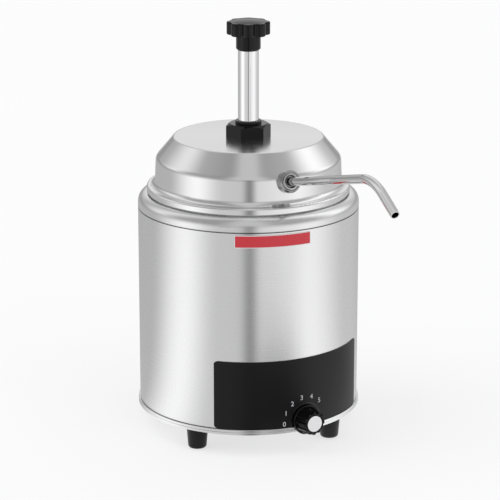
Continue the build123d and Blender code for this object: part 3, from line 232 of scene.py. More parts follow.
def turned(
    points: Profile,
    rounds: dict[int, float] | None = None,
    closed: bool = True,
    sides: int = 192,
    steps: int = 6,
) -> bpy.types.Object:
    """Draw an outline of (radius, height) points, round its corners and spin it about Z.

    Args:
        points: The outline's corners.
        rounds: Corner number to radius, for the corners that are rounded.
        closed: Whether the last point joins the first. An outline that starts and
            ends on the axis stays open.
        sides: Steps of the spin.
        steps: Segments of each rounded corner.

    Returns:
        The object, with outward faces and smooth shading.
    """
    clear_selection()
    start_x, start_z = points[0]
    bpy.ops.mesh.primitive_plane_add(size=MM, location=(0, 0, 0))
    obj = bpy.context.active_object
    editing(True)
    bpy.ops.mesh.select_all(action="SELECT")
    bpy.ops.mesh.merge(type="CENTER")
    bpy.ops.transform.translate(value=(start_x * MM, 0, start_z * MM))
    for before, after in zip(points, points[1:]):
        step = ((after[0] - before[0]) * MM, 0, (after[1] - before[1]) * MM)
        bpy.ops.mesh.extrude_vertices_move(TRANSFORM_OT_translate={"value": step})
    if closed:
        select_corners(points[0], points[-1])
        bpy.ops.mesh.edge_face_add()
    for index, radius in (rounds or {}).items():
        before, after = points[index - 1], points[(index + 1) % len(points)]
        select_corners(points[index])
        offset = corner_offset(before, points[index], after, radius)
        bpy.ops.mesh.bevel(offset=offset * MM, segments=steps, profile=0.5, affect="VERTICES")
    bpy.ops.mesh.select_mode(type="VERT")
    bpy.ops.mesh.select_all(action="SELECT")
    bpy.ops.mesh.spin(steps=sides, angle=FULL_TURN, center=(0, 0, 0), axis=(0, 0, 1))
    tidy_mesh()
    editing(False)
    smooth(obj)
    return obj


def cut_keeping_above(level: float) -> None:
    """Cut the edited piece across local Y at this level, and drop what is below."""
    bpy.ops.mesh.select_all(action="SELECT")
    bpy.ops.mesh.bisect(
        plane_co=(0, level * MM, 0), plane_no=(0, 1, 0), use_fill=True, clear_inner=True
    )


def slice_upright(half_width: float, step: float) -> None:
    """Cut a flat edited piece into upright strips, so that it can bend.

    Args:
        half_width: Half its width along local X.
        step: The least width of a strip.
    """
    count = int(2 * half_width / step)
    for number in range(1, count):
        bpy.ops.mesh.select_all(action="SELECT")
        spot = (-half_width + 2 * half_width * number / count) * MM
        bpy.ops.mesh.bisect(plane_co=(spot, 0, 0), plane_no=(1, 0, 0))


def wrap(obj: bpy.types.Object, radius: float, turn: float, level: float) -> bpy.types.Object:
    """Bend a flat piece round the case.

    Args:
        obj: A piece drawn with +X to the right, +Y up and its height along +Z.
        radius: Radius of the surface that it lies on.
        turn: Bearing of its middle.
        level: Height of its middle.

    Returns:
        The same object.
    """
    for vertex in obj.data.vertices:
        across, up, out = vertex.co
        angle = math.radians(turn) + across / (radius * MM)
        reach = radius * MM + out
        vertex.co = (reach * math.sin(angle), -reach * math.cos(angle), level * MM + up)
    obj.data.update()
    return obj


def facing_out(turn: float, distance: float, level: float) -> Matrix:
    """The place of a flat piece that looks straight out of the case.

    Args:
        turn: Its bearing.
        distance: How far from the case's axis it stands.
        level: Its height.

    Returns:
        The matrix, in metres, for a piece drawn as wrap asks.
    """
    upright = Matrix.Rotation(math.radians(90), 4, "X")
    forward = Matrix.Translation((0, -distance * MM, level * MM))
    return Matrix.Rotation(math.radians(turn), 4, "Z") @ forward @ upright


# ---- shader trees ---------------------------------------------------------------
class Tree:
    """A node tree that is filled node by node."""

    def __init__(self, tree: bpy.types.NodeTree) -> None:
        """Take an existing tree."""
        self.tree = tree

    def add(self, kind: str, **settings: object) -> bpy.types.Node:
        """Add a node.

        Args:
            kind: The node's type.
            settings: Its properties.

        Returns:
            The node.
        """
        node = self.tree.nodes.new(kind)
        for key, value in settings.items():
            setattr(node, key, value)
        return node

    def wire(self, source: Signal, target: bpy.types.NodeSocket) -> None:
        """Link an output to an input, or put a plain value on it.

        Args:
            source: The output or the value.
            target: The input.
        """
        if isinstance(source, bpy.types.NodeSocket):
            self.tree.links.new(source, target)
        else:
            target.default_value = source

    def feed(
        self, node: bpy.types.Node, *ordered: Signal, **named: Signal
    ) -> bpy.types.NodeSocket:
        """Wire a node's inputs, in their order or by name.

        Args:
            node: The node.
            ordered: What its first inputs get.
            named: What its named inputs get, underscores standing for spaces.

        Returns:
            The node's first output.
        """
        for source, target in zip(ordered, node.inputs):
            self.wire(source, target)
        for key, source in named.items():
            self.wire(source, node.inputs[key.replace("_", " ")])
        return node.outputs[0]

    def put(self, kind: str, *ordered: Signal, **named: Signal) -> bpy.types.NodeSocket:
        """Add a node of this type, feed it, and return its first output."""
        return self.feed(self.add(kind), *ordered, **named)

    def math(self, operation: str, *values: Signal) -> bpy.types.NodeSocket:
        """Add a Math node on one or two values."""
        return self.feed(self.add("ShaderNodeMath", operation=operation), *values)

    def measure(self, operation: str, first: Signal, second: Signal) -> bpy.types.NodeSocket:
        """Get a number from two vectors.

        Args:
            operation: What Vector Math makes of them.
            first: One vector.
            second: The other one.

        Returns:
            The number.
        """
        node = self.add("ShaderNodeVectorMath", operation=operation)
        self.feed(node, first, second)
        return node.outputs["Value"]

    def split(self, vector: bpy.types.NodeSocket) -> bpy.types.NodeOutputs:
        """Split a vector into its X, Y and Z.

        Args:
            vector: The vector.

        Returns:
            The three outputs, in order and by name.
        """
        node = self.add("ShaderNodeSeparateXYZ")
        self.feed(node, vector)
        return node.outputs

    def span(self, value: Signal, low: float, high: float) -> bpy.types.NodeSocket:
        """Map a value from 0..1 to low..high."""
        return self.put("ShaderNodeMapRange", Value=value, To_Min=low, To_Max=high)

    def fade(
        self, value: Signal, start: float, end: float, first: float = 0.0
    ) -> bpy.types.NodeSocket:
        """Rise smoothly to 1 between two values.

        Args:
            value: The value.
            start: Where the rise starts.
            end: Where it ends.
            first: The level before it.

        Returns:
            The level.
        """
        node = self.add("ShaderNodeMapRange", interpolation_type="SMOOTHSTEP")
        return self.feed(node, Value=value, From_Min=start, From_Max=end, To_Min=first)

    def blend(self, share: Signal, first: Signal, second: Signal) -> bpy.types.NodeSocket:
        """Mix two colours.

        Args:
            share: How much of the second one there is, from 0 to 1.
            first: One colour.
            second: The other one.

        Returns:
            The mixed colour.
        """
        node = self.add("ShaderNodeMix", data_type="RGBA")
        self.feed(node, Factor=share, A=first, B=second)
        return node.outputs["Result"]

    def ramp(self, value: Signal, stops: Profile) -> bpy.types.NodeSocket:
        """Send a value through a smooth grey ramp.

        Args:
            value: The value, from 0 to 1.
            stops: The ramp's stops, each as its place and level.

        Returns:
            The grey.
        """
        node = self.add("ShaderNodeValToRGB")
        node.color_ramp.interpolation = "EASE"
        while len(node.color_ramp.elements) < len(stops):
            node.color_ramp.elements.new(0.5)
        for element, (spot, level) in zip(node.color_ramp.elements, stops):
            element.position = spot
            element.color = (level, level, level, 1)
        return self.feed(node, value)

    def group(
        self, maker: GroupMaker, position: bpy.types.NodeSocket, **values: float
    ) -> bpy.types.NodeOutputs:
        """Add a shared group.

        Args:
            maker: The function that builds it.
            position: What its input Place gets.
            values: What its other inputs get.

        Returns:
            Its outputs.
        """
        node = self.add("ShaderNodeGroup", node_tree=shared_group(maker))
        self.feed(node, Place=position, **values)
        return node.outputs


def shared_group(maker: GroupMaker) -> bpy.types.NodeTree:
    """The node group of this maker, built the first time that it is asked for."""
    return bpy.data.node_groups.get(maker.__name__) or maker()


def new_group(
    name: str, inputs: dict[str, float], outputs: list[str]
) -> tuple[Tree, bpy.types.NodeOutputs, bpy.types.NodeInputs]:
    """Make a shader node group with number inputs and number outputs.

    Args:
        name: The group's name, which is its maker's.
        inputs: Input name to its usual value. A first input, Place, is a vector.
        outputs: The names of its outputs.

    Returns:
        The group's tree, what comes in, and where the results go.
    """
    tree = bpy.data.node_groups.new(name, "ShaderNodeTree")
    tree.interface.new_socket("Place", in_out="INPUT", socket_type="NodeSocketVector")
    for label, value in inputs.items():
        socket = tree.interface.new_socket(label, in_out="INPUT", socket_type="NodeSocketFloat")
        socket.default_value = value
    for label in outputs:
        tree.interface.new_socket(label, in_out="OUTPUT", socket_type="NodeSocketFloat")
    made = Tree(tree)
    return made, made.add("NodeGroupInput").outputs, made.add("NodeGroupOutput").inputs


def turned_grain() -> bpy.types.NodeTree:
    """Fine lines round the Z axis, as brushing and spinning leave them on round sheet metal.

    Returns:
        The group. Lines and Run are the grains to a metre, across and along the lines.
    """
    tree, source, sink = new_group("turned_grain", {"Lines": 4000.0, "Run": 30.0}, ["Grain"])
    lines, run = source["Lines"], source["Run"]
    x, y, z = tree.split(source["Place"])
    squares = tree.math("ADD", tree.math("MULTIPLY", x, x), tree.math("MULTIPLY", y, y))
    spot = tree.put(
        "ShaderNodeCombineXYZ",
        tree.math("MULTIPLY", x, run),
        tree.math("MULTIPLY", y, run),
        tree.math("MULTIPLY", z, lines),
    )
    rings = tree.math("MULTIPLY", tree.math("SQRT", squares), lines)
    noise = tree.add("ShaderNodeTexNoise", noise_dimensions="4D")
    grain = tree.feed(noise, Vector=spot, W=rings, Scale=1.0, Detail=4.0, Roughness=0.62)
    tree.wire(grain, sink["Grain"])
    return tree.tree


def cloudy() -> bpy.types.NodeTree:
    """Broad soft patches with a fine speckle on them, for handling marks and moulded skins.

    Returns:
        The group. Patches and Speckle are how many there are to a metre.
    """
    tree, source, sink = new_group("cloudy", {"Patches": 18.0, "Speckle": 900.0}, ["Cloud", "Fine"])
    for label, scale, detail in (("Cloud", "Patches", 3.0), ("Fine", "Speckle", 2.0)):
        noise = tree.add("ShaderNodeTexNoise")
        marks = tree.feed(noise, Vector=source["Place"], Scale=source[scale], Detail=detail)
        tree.wire(marks, sink[label])
    return tree.tree


def crevice_line() -> bpy.types.NodeTree:
    """Painted shade: a soft dark line where a wall meets the part below it, standing in for the shadow
    in that seam.

    Returns:
        The group. Mask is 1 up to Height and fades out over Width above it, in metres.
    """
    tree, source, sink = new_group("crevice_line", {"Height": 0.0, "Width": 0.0009}, ["Mask"])
    rise = tree.math("SUBTRACT", tree.split(source["Place"])["Z"], source["Height"])
    share = tree.math("DIVIDE", rise, source["Width"])
    mask = tree.put("ShaderNodeClamp", tree.math("SUBTRACT", 1.0, share))
    tree.wire(mask, sink["Mask"])
    return tree.tree


def diagonal_grain() -> bpy.types.NodeTree:
    """Straight fine lines that slant across a small disc.

    Returns:
        The group. Lines is how many there are to a metre.
    """
    slant = math.radians(-32)
    stretch = (0.04, 0.04, 1.0)
    tree, source, sink = new_group("diagonal_grain", {"Lines": 2600.0}, ["Grain"])
    turn = tree.add("ShaderNodeVectorRotate", rotation_type="Y_AXIS")
    slanted = tree.feed(turn, Vector=source["Place"], Angle=slant)
    spread = tree.add("ShaderNodeVectorMath", operation="MULTIPLY")
    drawn_out = tree.feed(spread, slanted, stretch)
    grain = tree.put("ShaderNodeTexNoise", Vector=drawn_out, Scale=source["Lines"], Detail=3.0)
    tree.wire(grain, sink["Grain"])
    return tree.tree


class Surface(Tree):
    """A material's tree with a Principled shader, Object coordinates and grouped effects."""

    def __init__(self, name: str) -> None:
        """Make the material and its shader.

        Args:
            name: The material's name.
        """
        self.material = bpy.data.materials.new(name)
        self.material.use_nodes = True
        super().__init__(self.material.node_tree)
        self.shader = self.tree.nodes["Principled BSDF"]
        self.object_place = self.add("ShaderNodeTexCoord").outputs["Object"]

    def set(self, **sources: Signal) -> None:
        """Feed the shader's own sockets by name."""
        self.feed(self.shader, **sources)

    def effect(self, maker: GroupMaker, **values: float) -> bpy.types.NodeOutputs:
        """Add a shared group on Object coordinates and return its outputs."""
        return self.group(maker, self.object_place, **values)

    def raise_by(self, height: Signal, strength: float, reach: float) -> None:
        """Bend the normals by a height map.

        Args:
            height: The height map.
            strength: How much of it counts.
            reach: The height that its full range stands for.
        """
        bump = self.put("ShaderNodeBump", Strength=strength, Distance=reach * MM, Height=height)
        self.set(Normal=bump)


# ---- finishes -------------------------------------------------------------------
@dataclass(frozen=True)
class Finish(ABC):
    """What all finishes have.

    Attributes:
        name: The material's name.
        colour: Its colour.
        roughness: Its middling roughness.
        tint: How far its lines or patches make the colour darker and lighter.
    """

    name: str
    colour: Colour
    roughness: float
    tint: float = 0.0

    def shades(self) -> tuple[Signal, ...]:
        """The darkest and the lightest shade of the colour, with an alpha of 1."""
        factors = (1 - self.tint, 1 + self.tint)
        return tuple(tuple(part * factor for part in self.colour) + (1,) for factor in factors)

    @abstractmethod
    def build(self) -> bpy.types.Material:
        """Build the material and return it."""


@dataclass(frozen=True)
class Metal(Finish):
    """Bare metal, brushed or turned round the Z axis, or polished where the lines are faint.

    Attributes:
        grain: How far the lines take the roughness up and down.
        lines: Grains to a metre, across the lines.
        run: Grains to a metre, along the lines.
        drawn: How much the gloss is drawn out across the lines.
        relief: How much the lines stand out.
        crevice: Height up to which painted shade darkens the colour, standing in for the shadow in a
            seam, where there is one.
        metallic: How much of a metal it is.
        gloss: Strength of the clear part of the gloss.
        smear: How far broad marks take the roughness up and down.
        drawn_turn: Which way the gloss is drawn, in turns.
        relief_reach: Depth of the lines.
    """

    tint: float = 0.03
    grain: float = 0.05
    lines: float = 4200.0
    run: float = 26.0
    drawn: float = 0.0
    relief: float = 0.0
    crevice: float | None = None
    metallic: float = 1.0
    gloss: ClassVar[float] = 0.5
    smear: ClassVar[float] = 0.02
    drawn_turn: ClassVar[float] = 0.25
    relief_reach: ClassVar[float] = 0.02

    def build(self) -> bpy.types.Material:
        """Build the material.

        Returns:
            The material.
        """
        surface = Surface(self.name)
        surface.set(Metallic=self.metallic, Specular_IOR_Level=self.gloss)
        grain = surface.effect(turned_grain, Lines=self.lines, Run=self.run)["Grain"]
        cloud = surface.effect(cloudy)["Cloud"]
        colour = surface.blend(grain, *self.shades())
        if self.crevice is not None:
            # painted shade: darken the colour at the foot of the seam, where shadow falls
            line = surface.effect(crevice_line, Height=self.crevice * MM)
            colour = surface.blend(line["Mask"], colour, SEAM_SHADE_COLOUR)
        rough = surface.span(grain, self.roughness - self.grain, self.roughness + self.grain)
        smear = surface.span(cloud, -self.smear, self.smear)
        surface.set(Base_Color=colour, Roughness=surface.math("ADD", rough, smear))
        if self.drawn:
            tangent = surface.add("ShaderNodeTangent", direction_type="RADIAL", axis="Z")
            surface.set(Anisotropic=self.drawn, Anisotropic_Rotation=self.drawn_turn)
            surface.set(Tangent=tangent.outputs[0])
        if self.relief:
            surface.raise_by(grain, self.relief, self.relief_reach)
        return surface.material


@dataclass(frozen=True)
class Plastic(Finish):
    """Moulded plastic, rubber, film or glass wool, with a faint skin.

    Attributes:
        skin: How much the speckle stands out.
        patches: Broad patches to a metre.
        speckle: Fine speckles to a metre.
        gloss: Strength of the gloss.
        smear: How far the patches take the roughness up and down.
        skin_reach: Height of the speckle.
    """

    tint: float = 0.12
    skin: float = 0.1
    patches: float = 18.0
    speckle: float = 900.0
    gloss: float = 0.5
    smear: ClassVar[float] = 0.03
    skin_reach: ClassVar[float] = 0.2

    def build(self) -> bpy.types.Material:
        """Build the material.

        Returns:
            The material.
        """
        surface = Surface(self.name)
        skin = surface.effect(cloudy, Patches=self.patches, Speckle=self.speckle)
        rough = surface.span(skin["Cloud"], self.roughness - self.smear, self.roughness + self.smear)
        surface.set(
            Specular_IOR_Level=self.gloss,
            Base_Color=surface.blend(skin["Cloud"], *self.shades()),
            Roughness=rough,
        )
        surface.raise_by(skin["Fine"], self.skin, self.skin_reach)
        return surface.material


@dataclass(frozen=True)
class Foil(Finish):
    """Light satin foil with straight brushed lines.

    Attributes:
        lines: Lines to a metre.
        gloss: Strength of the gloss.
        relief: How much the lines stand out.
        relief_reach: Depth of the lines.
    """

    tint: float = 0.07
    lines: float = 1500.0
    gloss: float = 0.6
    relief: float = 0.1
    relief_reach: float = 0.03

    def build(self) -> bpy.types.Material:
        """Build the material.

        Returns:
            The material.
        """
        surface = Surface(self.name)
        grain = surface.effect(diagonal_grain, Lines=self.lines)["Grain"]
        surface.set(
            Specular_IOR_Level=self.gloss,
            Base_Color=surface.blend(grain, *self.shades()),
            Roughness=self.roughness,
        )
        surface.raise_by(grain, self.relief, self.relief_reach)
        return surface.material


SLOT_FINISHES = {
    "case_steel": Metal(
        "satin_case_steel", (0.78, 0.78, 0.785), 0.27, tint=0.02, drawn=0.75, relief=0.035
    ),
    "trim_steel": Metal("satin_trim_steel", (0.77, 0.77, 0.775), 0.25, drawn=0.6, relief=0.05),
    "lid_steel": Metal(
        "spun_lid_steel", (0.77, 0.77, 0.77), 0.17, grain=0.04, drawn=0.6, relief=0.03
    ),
    "vessel_steel": Metal(
        "drawn_vessel_steel", (0.74, 0.74, 0.74), 0.36, drawn=0.4, relief=0.04, metallic=0.35
    ),
    "jar_steel": Metal(
        "bright_jar_steel", (0.78, 0.78, 0.78), 0.22, drawn=0.4, relief=0.03, metallic=0.55
    ),
    "fitting_steel": Metal(
        "turned_fitting_steel", (0.56, 0.56, 0.56), 0.09, grain=0.02, lines=9000.0
    ),
    "spout_steel": Metal("polished_spout_steel", (0.69, 0.68, 0.68), 0.05, grain=0.015),
    "pump_steel": Metal("turned_pump_steel", (0.72, 0.72, 0.72), 0.19, lines=7000.0, relief=0.05),
    "plunger_chrome": Metal("plunger_chrome", (0.82, 0.82, 0.83), 0.045, grain=0.01, tint=0.01),
    "dial_cap_silver": Metal("satin_dial_cap", (0.93, 0.93, 0.94), 0.34, lines=6000.0),
    "ball_steel": Metal("ball_steel", (0.80, 0.80, 0.82), 0.05, grain=0.01),
    "spring_steel": Metal("spring_wire_steel", (0.60, 0.60, 0.61), 0.22),
    "plated_steel": Metal("zinc_plated_steel", (0.66, 0.66, 0.63), 0.30),
    "heater_sheath": Metal("heat_dulled_sheath", (0.34, 0.32, 0.30), 0.42, tint=0.15),
    "copper_tube": Metal("drawn_copper", (0.85, 0.50, 0.34), 0.22),
    "knob_black": Plastic("star_knob_black", (0.003, 0.003, 0.0035), 0.10, skin=0.02, gloss=0.25),
    "nut_black": Plastic("nut_black", (0.0035, 0.0035, 0.004), 0.13, skin=0.04, gloss=0.28),
    "dial_black": Plastic("dial_knob_black", (0.003, 0.003, 0.0035), 0.22, skin=0.04, gloss=0.30),
    "front_sheet_black": Plastic(
        "front_sheet_film", (0.005, 0.005, 0.006), 0.36, skin=0.03, gloss=0.24
    ),
    "band_red": Plastic("red_film", (0.60, 0.030, 0.045), 0.38, skin=0.02, tint=0.04),
    "foot_rubber": Plastic("foot_rubber", (0.005, 0.005, 0.0055), 0.40, skin=0.12, gloss=0.30),
    "seal_rubber": Plastic("seal_rubber", (0.008, 0.008, 0.009), 0.50, skin=0.10, gloss=0.3),
    "piston_plastic": Plastic("machined_piston_plastic", (0.80, 0.80, 0.77), 0.40),
    "glass_wool": Plastic("glass_wool", (0.84, 0.80, 0.66), 0.90, skin=1.0, speckle=400.0),
    "electric_plastic": Plastic("electrical_moulding", (0.76, 0.74, 0.68), 0.42),
    "bushing_plastic": Plastic("cord_bushing_black", (0.010, 0.010, 0.011), 0.40, gloss=0.35),
    "wire_sleeve": Plastic("silicone_wire_sleeve", (0.20, 0.20, 0.22), 0.48),
}
NODE_FINISHES = {"spout_boss": Metal("dark_turned_boss", (0.40, 0.40, 0.40), 0.13, lines=9000.0)}
CAP_FACE = Foil("brushed_cap_foil", (0.86, 0.86, 0.87), 0.30)
CAP_RIM = Plastic("pale_cap_rim", (0.93, 0.93, 0.93), 0.22, skin=0.0, tint=0.01)
INK = Plastic("dial_ink", (0.62, 0.63, 0.64), 0.45, skin=0.02, tint=0.03)
BAND_EDGE = Plastic("band_pale_edge", (0.74, 0.74, 0.74), 0.40, skin=0.02, tint=0.02)
BEZEL = Plastic("dial_ring_black", (0.004, 0.004, 0.0045), 0.14, skin=0.01, gloss=0.6)


class Workshop:
    """Knows the frame, hands out materials, and dresses and mounts pieces."""

    def __init__(self, frame: dict) -> None:
        """Keep the frame's nodes and joints, and note each node's slot.
        """
        self.nodes = frame["nodes"]
        self.slot_of = {part["node"]: part["material_slot"] for part in frame["record"]["subparts"]}
        self.joints = {joint["name"]: joint for joint in frame["joints"]}
        self.made: dict[str, bpy.types.Material] = {}

    def material(self, finish: Finish) -> bpy.types.Material:
        """The material of a finish, built the first time that it is asked for.

        Args:
            finish: The finish.

        Returns:
            Its material.
        """
        if finish.name not in self.made:
            self.made[finish.name] = finish.build()
        return self.made[finish.name]

    def box(self, node: str) -> tuple[Vector, Vector]:
        """The lowest and the highest corner of a node."""
        low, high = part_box(node)
        return low / MM, high / MM

    def facing(self, node: str) -> tuple[float, float, float]:
        """Find where a node's middle is, as seen from the case's axis.

        Args:
            node: The node.

        Returns:
            Its bearing, its distance from the axis and its height.
        """
        middle = sum(self.box(node), Vector()) / 2
        turn = math.degrees(math.atan2(middle.x, -middle.y))
        return turn, math.hypot(middle.x, middle.y), middle.z

    def dress(self, obj: bpy.types.Object, finish: Finish) -> None:
        """Give a whole object one finish."""
        obj.data.materials.clear()
        obj.data.materials.append(self.material(finish))

    def deliver(
        self,
        obj: bpy.types.Object,
        name: str,
        body: Body,
        slot: str,
        replaced: tuple[str, ...] = (),
        finish: Finish | None = None,
    ) -> None:
        """Name, dress and mount a finished piece.

        Args:
            obj: The piece, in place.
            name: Its name.
            body: The body that it moves with.
            slot: The record's material slot.
            replaced: The frame's nodes that it stands for.
            finish: Its finish, where that isn't the slot's own.
        """
        obj.name = obj.data.name = name
        self.dress(obj, finish or SLOT_FINISHES[slot])
        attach(obj, body.value)
        if replaced:
            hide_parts(*replaced)
        log.info("%s: %d faces on %s", name, len(obj.data.polygons), body.value)

    def dress_frame(self) -> None:
        """Give every node of the frame its finish, with painted shade lines at its seams."""
        seam = self.box("outer_shell")[1].z + SEAM_SHADE_REACH
        # painted shade: the case wall darkens just above the base pan, and the collar just above the
        # case wall, where shadow falls in the seams
        seam_shaded = {
            "outer_shell": ("case_wall_steel_painted_shade", self.box("base_pan")[1].z),
            "top_collar": ("collar_steel_painted_shade", seam),
        }
        for node, obj in self.nodes.items():
            finish = NODE_FINISHES.get(node, SLOT_FINISHES[self.slot_of[node]])
            if node in seam_shaded:
                name, height = seam_shaded[node]
                finish = replace(finish, name=name, crevice=height)
            self.dress(obj, finish)
        log.info("%d frame nodes dressed", len(self.nodes))


# ---- pieces ---------------------------------------------------------------------
@dataclass
class RubberFeet:
    """Four moulded feet with rounded toes and hollow soles."""

    count: int = 4
    toe_radius: float = 8.3
    toe_round: float = 2.6
    top_round: float = 0.5
    hollow_radius: float = 4.8
    hollow_depth: float = 1.3
    hollow_draft: float = 0.5
    sides: int = 96

    def build(self, shop: Workshop) -> None:
        """Make each foot where its node stands.

        Args:
            shop: The workshop.
        """
        for number in range(1, self.count + 1):
            node = f"foot_{number}"
            low, high = shop.box(node)
            middle = (low + high) / 2
            foot = turned(
                [
                    (0, high.z),
                    ((high.x - low.x) / 2, high.z),
                    (self.toe_radius, 0),
                    (self.hollow_radius, 0),
                    (self.hollow_radius - self.hollow_draft, self.hollow_depth),
                    (0, self.hollow_depth),
                ],
                {1: self.top_round, 2: self.toe_round, 3: self.top_round},
                closed=False,
                sides=self.sides,
            )
            place(foot, Matrix.Translation((middle.x * MM, middle.y * MM, 0)))
            shop.deliver(foot, f"rubber_foot_{number}", Body.BASE, "foot_rubber", (node,))


@dataclass
class DialMarks:
    """Plain numbers round the dial, and the low ring that frames it, on the front sheet."""

    count: int = 6
    first_turn: float = -95.4
    step: float = 28.0
    radius: float = 21.4
    digit_height: float = 4.4
    ink_height: float = 0.08
    ring_inner: float = 14.7
    ring_outer: float = 15.7
    ring_height: float = 0.5
    ring_round: float = 0.2
    ring_steps: int = 3
    face: float = field(init=False)
    turn: float = field(init=False)
    level: float = field(init=False)

    def build(self, shop: Workshop) -> None:
        """Make the numbers and the ring round the dial's axis.

        Args:
            shop: The workshop.
        """
        sheet_low, _ = shop.box("front_sheet")
        self.face = -sheet_low.y
        self.turn, _, self.level = shop.facing("dial_cap")
        digits = join(*(self.digit(number) for number in range(self.count)))
        shop.deliver(digits, "dial_numbers", Body.BASE, "front_sheet_black", finish=INK)
        ring = self.ring(sheet_low.z - self.level)
        shop.deliver(ring, "dial_ring", Body.BASE, "front_sheet_black", finish=BEZEL)

    def digit(self, number: int) -> bpy.types.Object:
        """One printed number at its place round the dial.

        Args:
            number: The number.

        Returns:
            The number as a mesh.
        """
        clear_selection()
        bpy.ops.object.text_add()
        obj = bpy.context.active_object
        obj.data.body = str(number)
        obj.data.align_x = obj.data.align_y = "CENTER"
        obj.data.extrude = TEXT_DEPTH
        bpy.ops.object.convert(target="MESH")
        ups = [vertex.co.y for vertex in obj.data.vertices]
        grown = self.digit_height * MM / (max(ups) - min(ups))
        sized = Matrix.Diagonal((grown, grown, self.ink_height * MM, 1))
        centred = Matrix.Translation((0, -(max(ups) + min(ups)) / 2, 0))
        around = math.radians(self.first_turn + number * self.step)
        across, up = self.radius * math.sin(around), self.radius * math.cos(around)
        bend = math.degrees(across / self.face)
        spot = facing_out(self.turn + bend, self.face + self.ink_height / 2, self.level + up)
        return place(obj, spot @ sized @ centred)

    def ring(self, foot: float) -> bpy.types.Object:
        """The low ring, cut off at the sheet's lower edge.

        Args:
            foot: Height of that edge above the dial's axis.

        Returns:
            The ring, bent on to the sheet.
        """
        ring = turned(
            [
                (self.ring_inner, 0),
                (self.ring_outer, 0),
                (self.ring_outer, self.ring_height),
                (self.ring_inner, self.ring_height),
            ],
            {2: self.ring_round, 3: self.ring_round},
            steps=self.ring_steps,
        )
        editing(True)
        cut_keeping_above(foot)
        editing(False)
        return wrap(ring, self.face, self.turn, self.level)


@dataclass
class DialCap:
    """Light disc in the dial's nose: a pale rim round a brushed middle."""

    thickness: float = 1.4
    rim_width: float = 0.9
    recess: float = 0.12
    edge_round: float = 0.3
    sides: int = 128

    def build(self, shop: Workshop) -> None:
        """Make the rim and the disc in it.

        Args:
            shop: The workshop.
        """
        low, high = shop.box("dial_cap")
        radius = (high.z - low.z) / 2
        inner = radius - self.rim_width
        turn, distance, level = shop.facing("dial_cap")
        spot = facing_out(turn, distance - self.thickness / 2, level)
        rim = turned(
            [(inner, 0), (radius, 0), (radius, self.thickness), (inner, self.thickness)],
            {2: self.edge_round, 3: self.edge_round / 2},
            sides=self.sides,
        )
        place(rim, spot)
        shop.deliver(rim, "dial_cap_rim", Body.DIAL, "dial_cap_silver", finish=CAP_RIM)
        face_height = self.thickness - self.recess
        face = turned([(0, 0), (inner, 0), (inner, face_height), (0, face_height)], closed=False)
        place(face, spot)
        shop.deliver(
            face, "dial_cap_face", Body.DIAL, "dial_cap_silver", ("dial_cap",), finish=CAP_FACE
        )


@dataclass
class BandBorder:
    """Pale printed line round the red band."""

    width: float = 0.55
    thickness: float = 0.06
    slice_step: float = 1.5

    def build(self, shop: Workshop) -> None:
        """Make the line as a thin frame and bend it on to the band.

        Args:
            shop: The workshop.
        """
        low, high = shop.box("red_band")
        face = -low.y
        start, end = (math.asin(x / face) for x in (low.x, high.x))
        half_width = face * (end - start) / 2
        clear_selection()
        bpy.ops.mesh.primitive_plane_add(size=2 * MM)
        obj = bpy.context.active_object
        place(obj, Matrix.Diagonal((half_width, (high.z - low.z) / 2, 1, 1)))
        editing(True)
        bpy.ops.mesh.select_all(action="SELECT")
        bpy.ops.mesh.inset(thickness=self.width * MM, depth=0)
        bpy.ops.mesh.delete(type="FACE")
        slice_upright(half_width, self.slice_step)
        tidy_mesh()
        editing(False)
        apply_modifier(obj, "SOLIDIFY", thickness=self.thickness * MM, offset=1.0)
        wrap(obj, face, math.degrees((start + end) / 2), (low.z + high.z) / 2)
        shop.deliver(obj, "band_border", Body.BASE, "band_red", finish=BAND_EDGE)


@dataclass
class GlandNut:
    """Round nut in the spout's fitting, with a soft shoulder and a coned mouth.

    It is turned upright, leant over, set at the root with the spout along +X, and brought
    round to the spout's bearing. The root is a point of the spout's axis, just outside the
    lid's wall, as its distance from the case's axis and its height.
    """

    root: Corner = (86.0, 250.85)
    rise: float = 14.05
    spout_turn: float = -3.9
    radius: float = 7.5
    bore: float = 4.85
    mouth: float = 5.9
    start: float = 3.4
    end: float = 6.9
    mouth_depth: float = 1.9
    shoulder: float = 1.1
    lip_round: float = 0.4
    sides: int = 128

    def build(self, shop: Workshop) -> None:
        """Turn the nut and set it on the spout's axis.

        Args:
            shop: The workshop.
        """
        nut = turned(
            [
                (self.bore, self.start),
                (self.radius, self.start),
                (self.radius, self.end),
                (self.mouth, self.end),
                (self.bore, self.end - self.mouth_depth),
            ],
            {2: self.shoulder, 3: self.lip_round},
            sides=self.sides,
        )
        root = Matrix.Translation((self.root[0] * MM, 0, self.root[1] * MM))
        lean = Matrix.Rotation(math.radians(90 - self.rise), 4, "Y")
        place(nut, bearing(self.spout_turn) @ root @ lean)
        shop.deliver(nut, "gland_nut", Body.LID, "fitting_steel", ("spout_nut",))


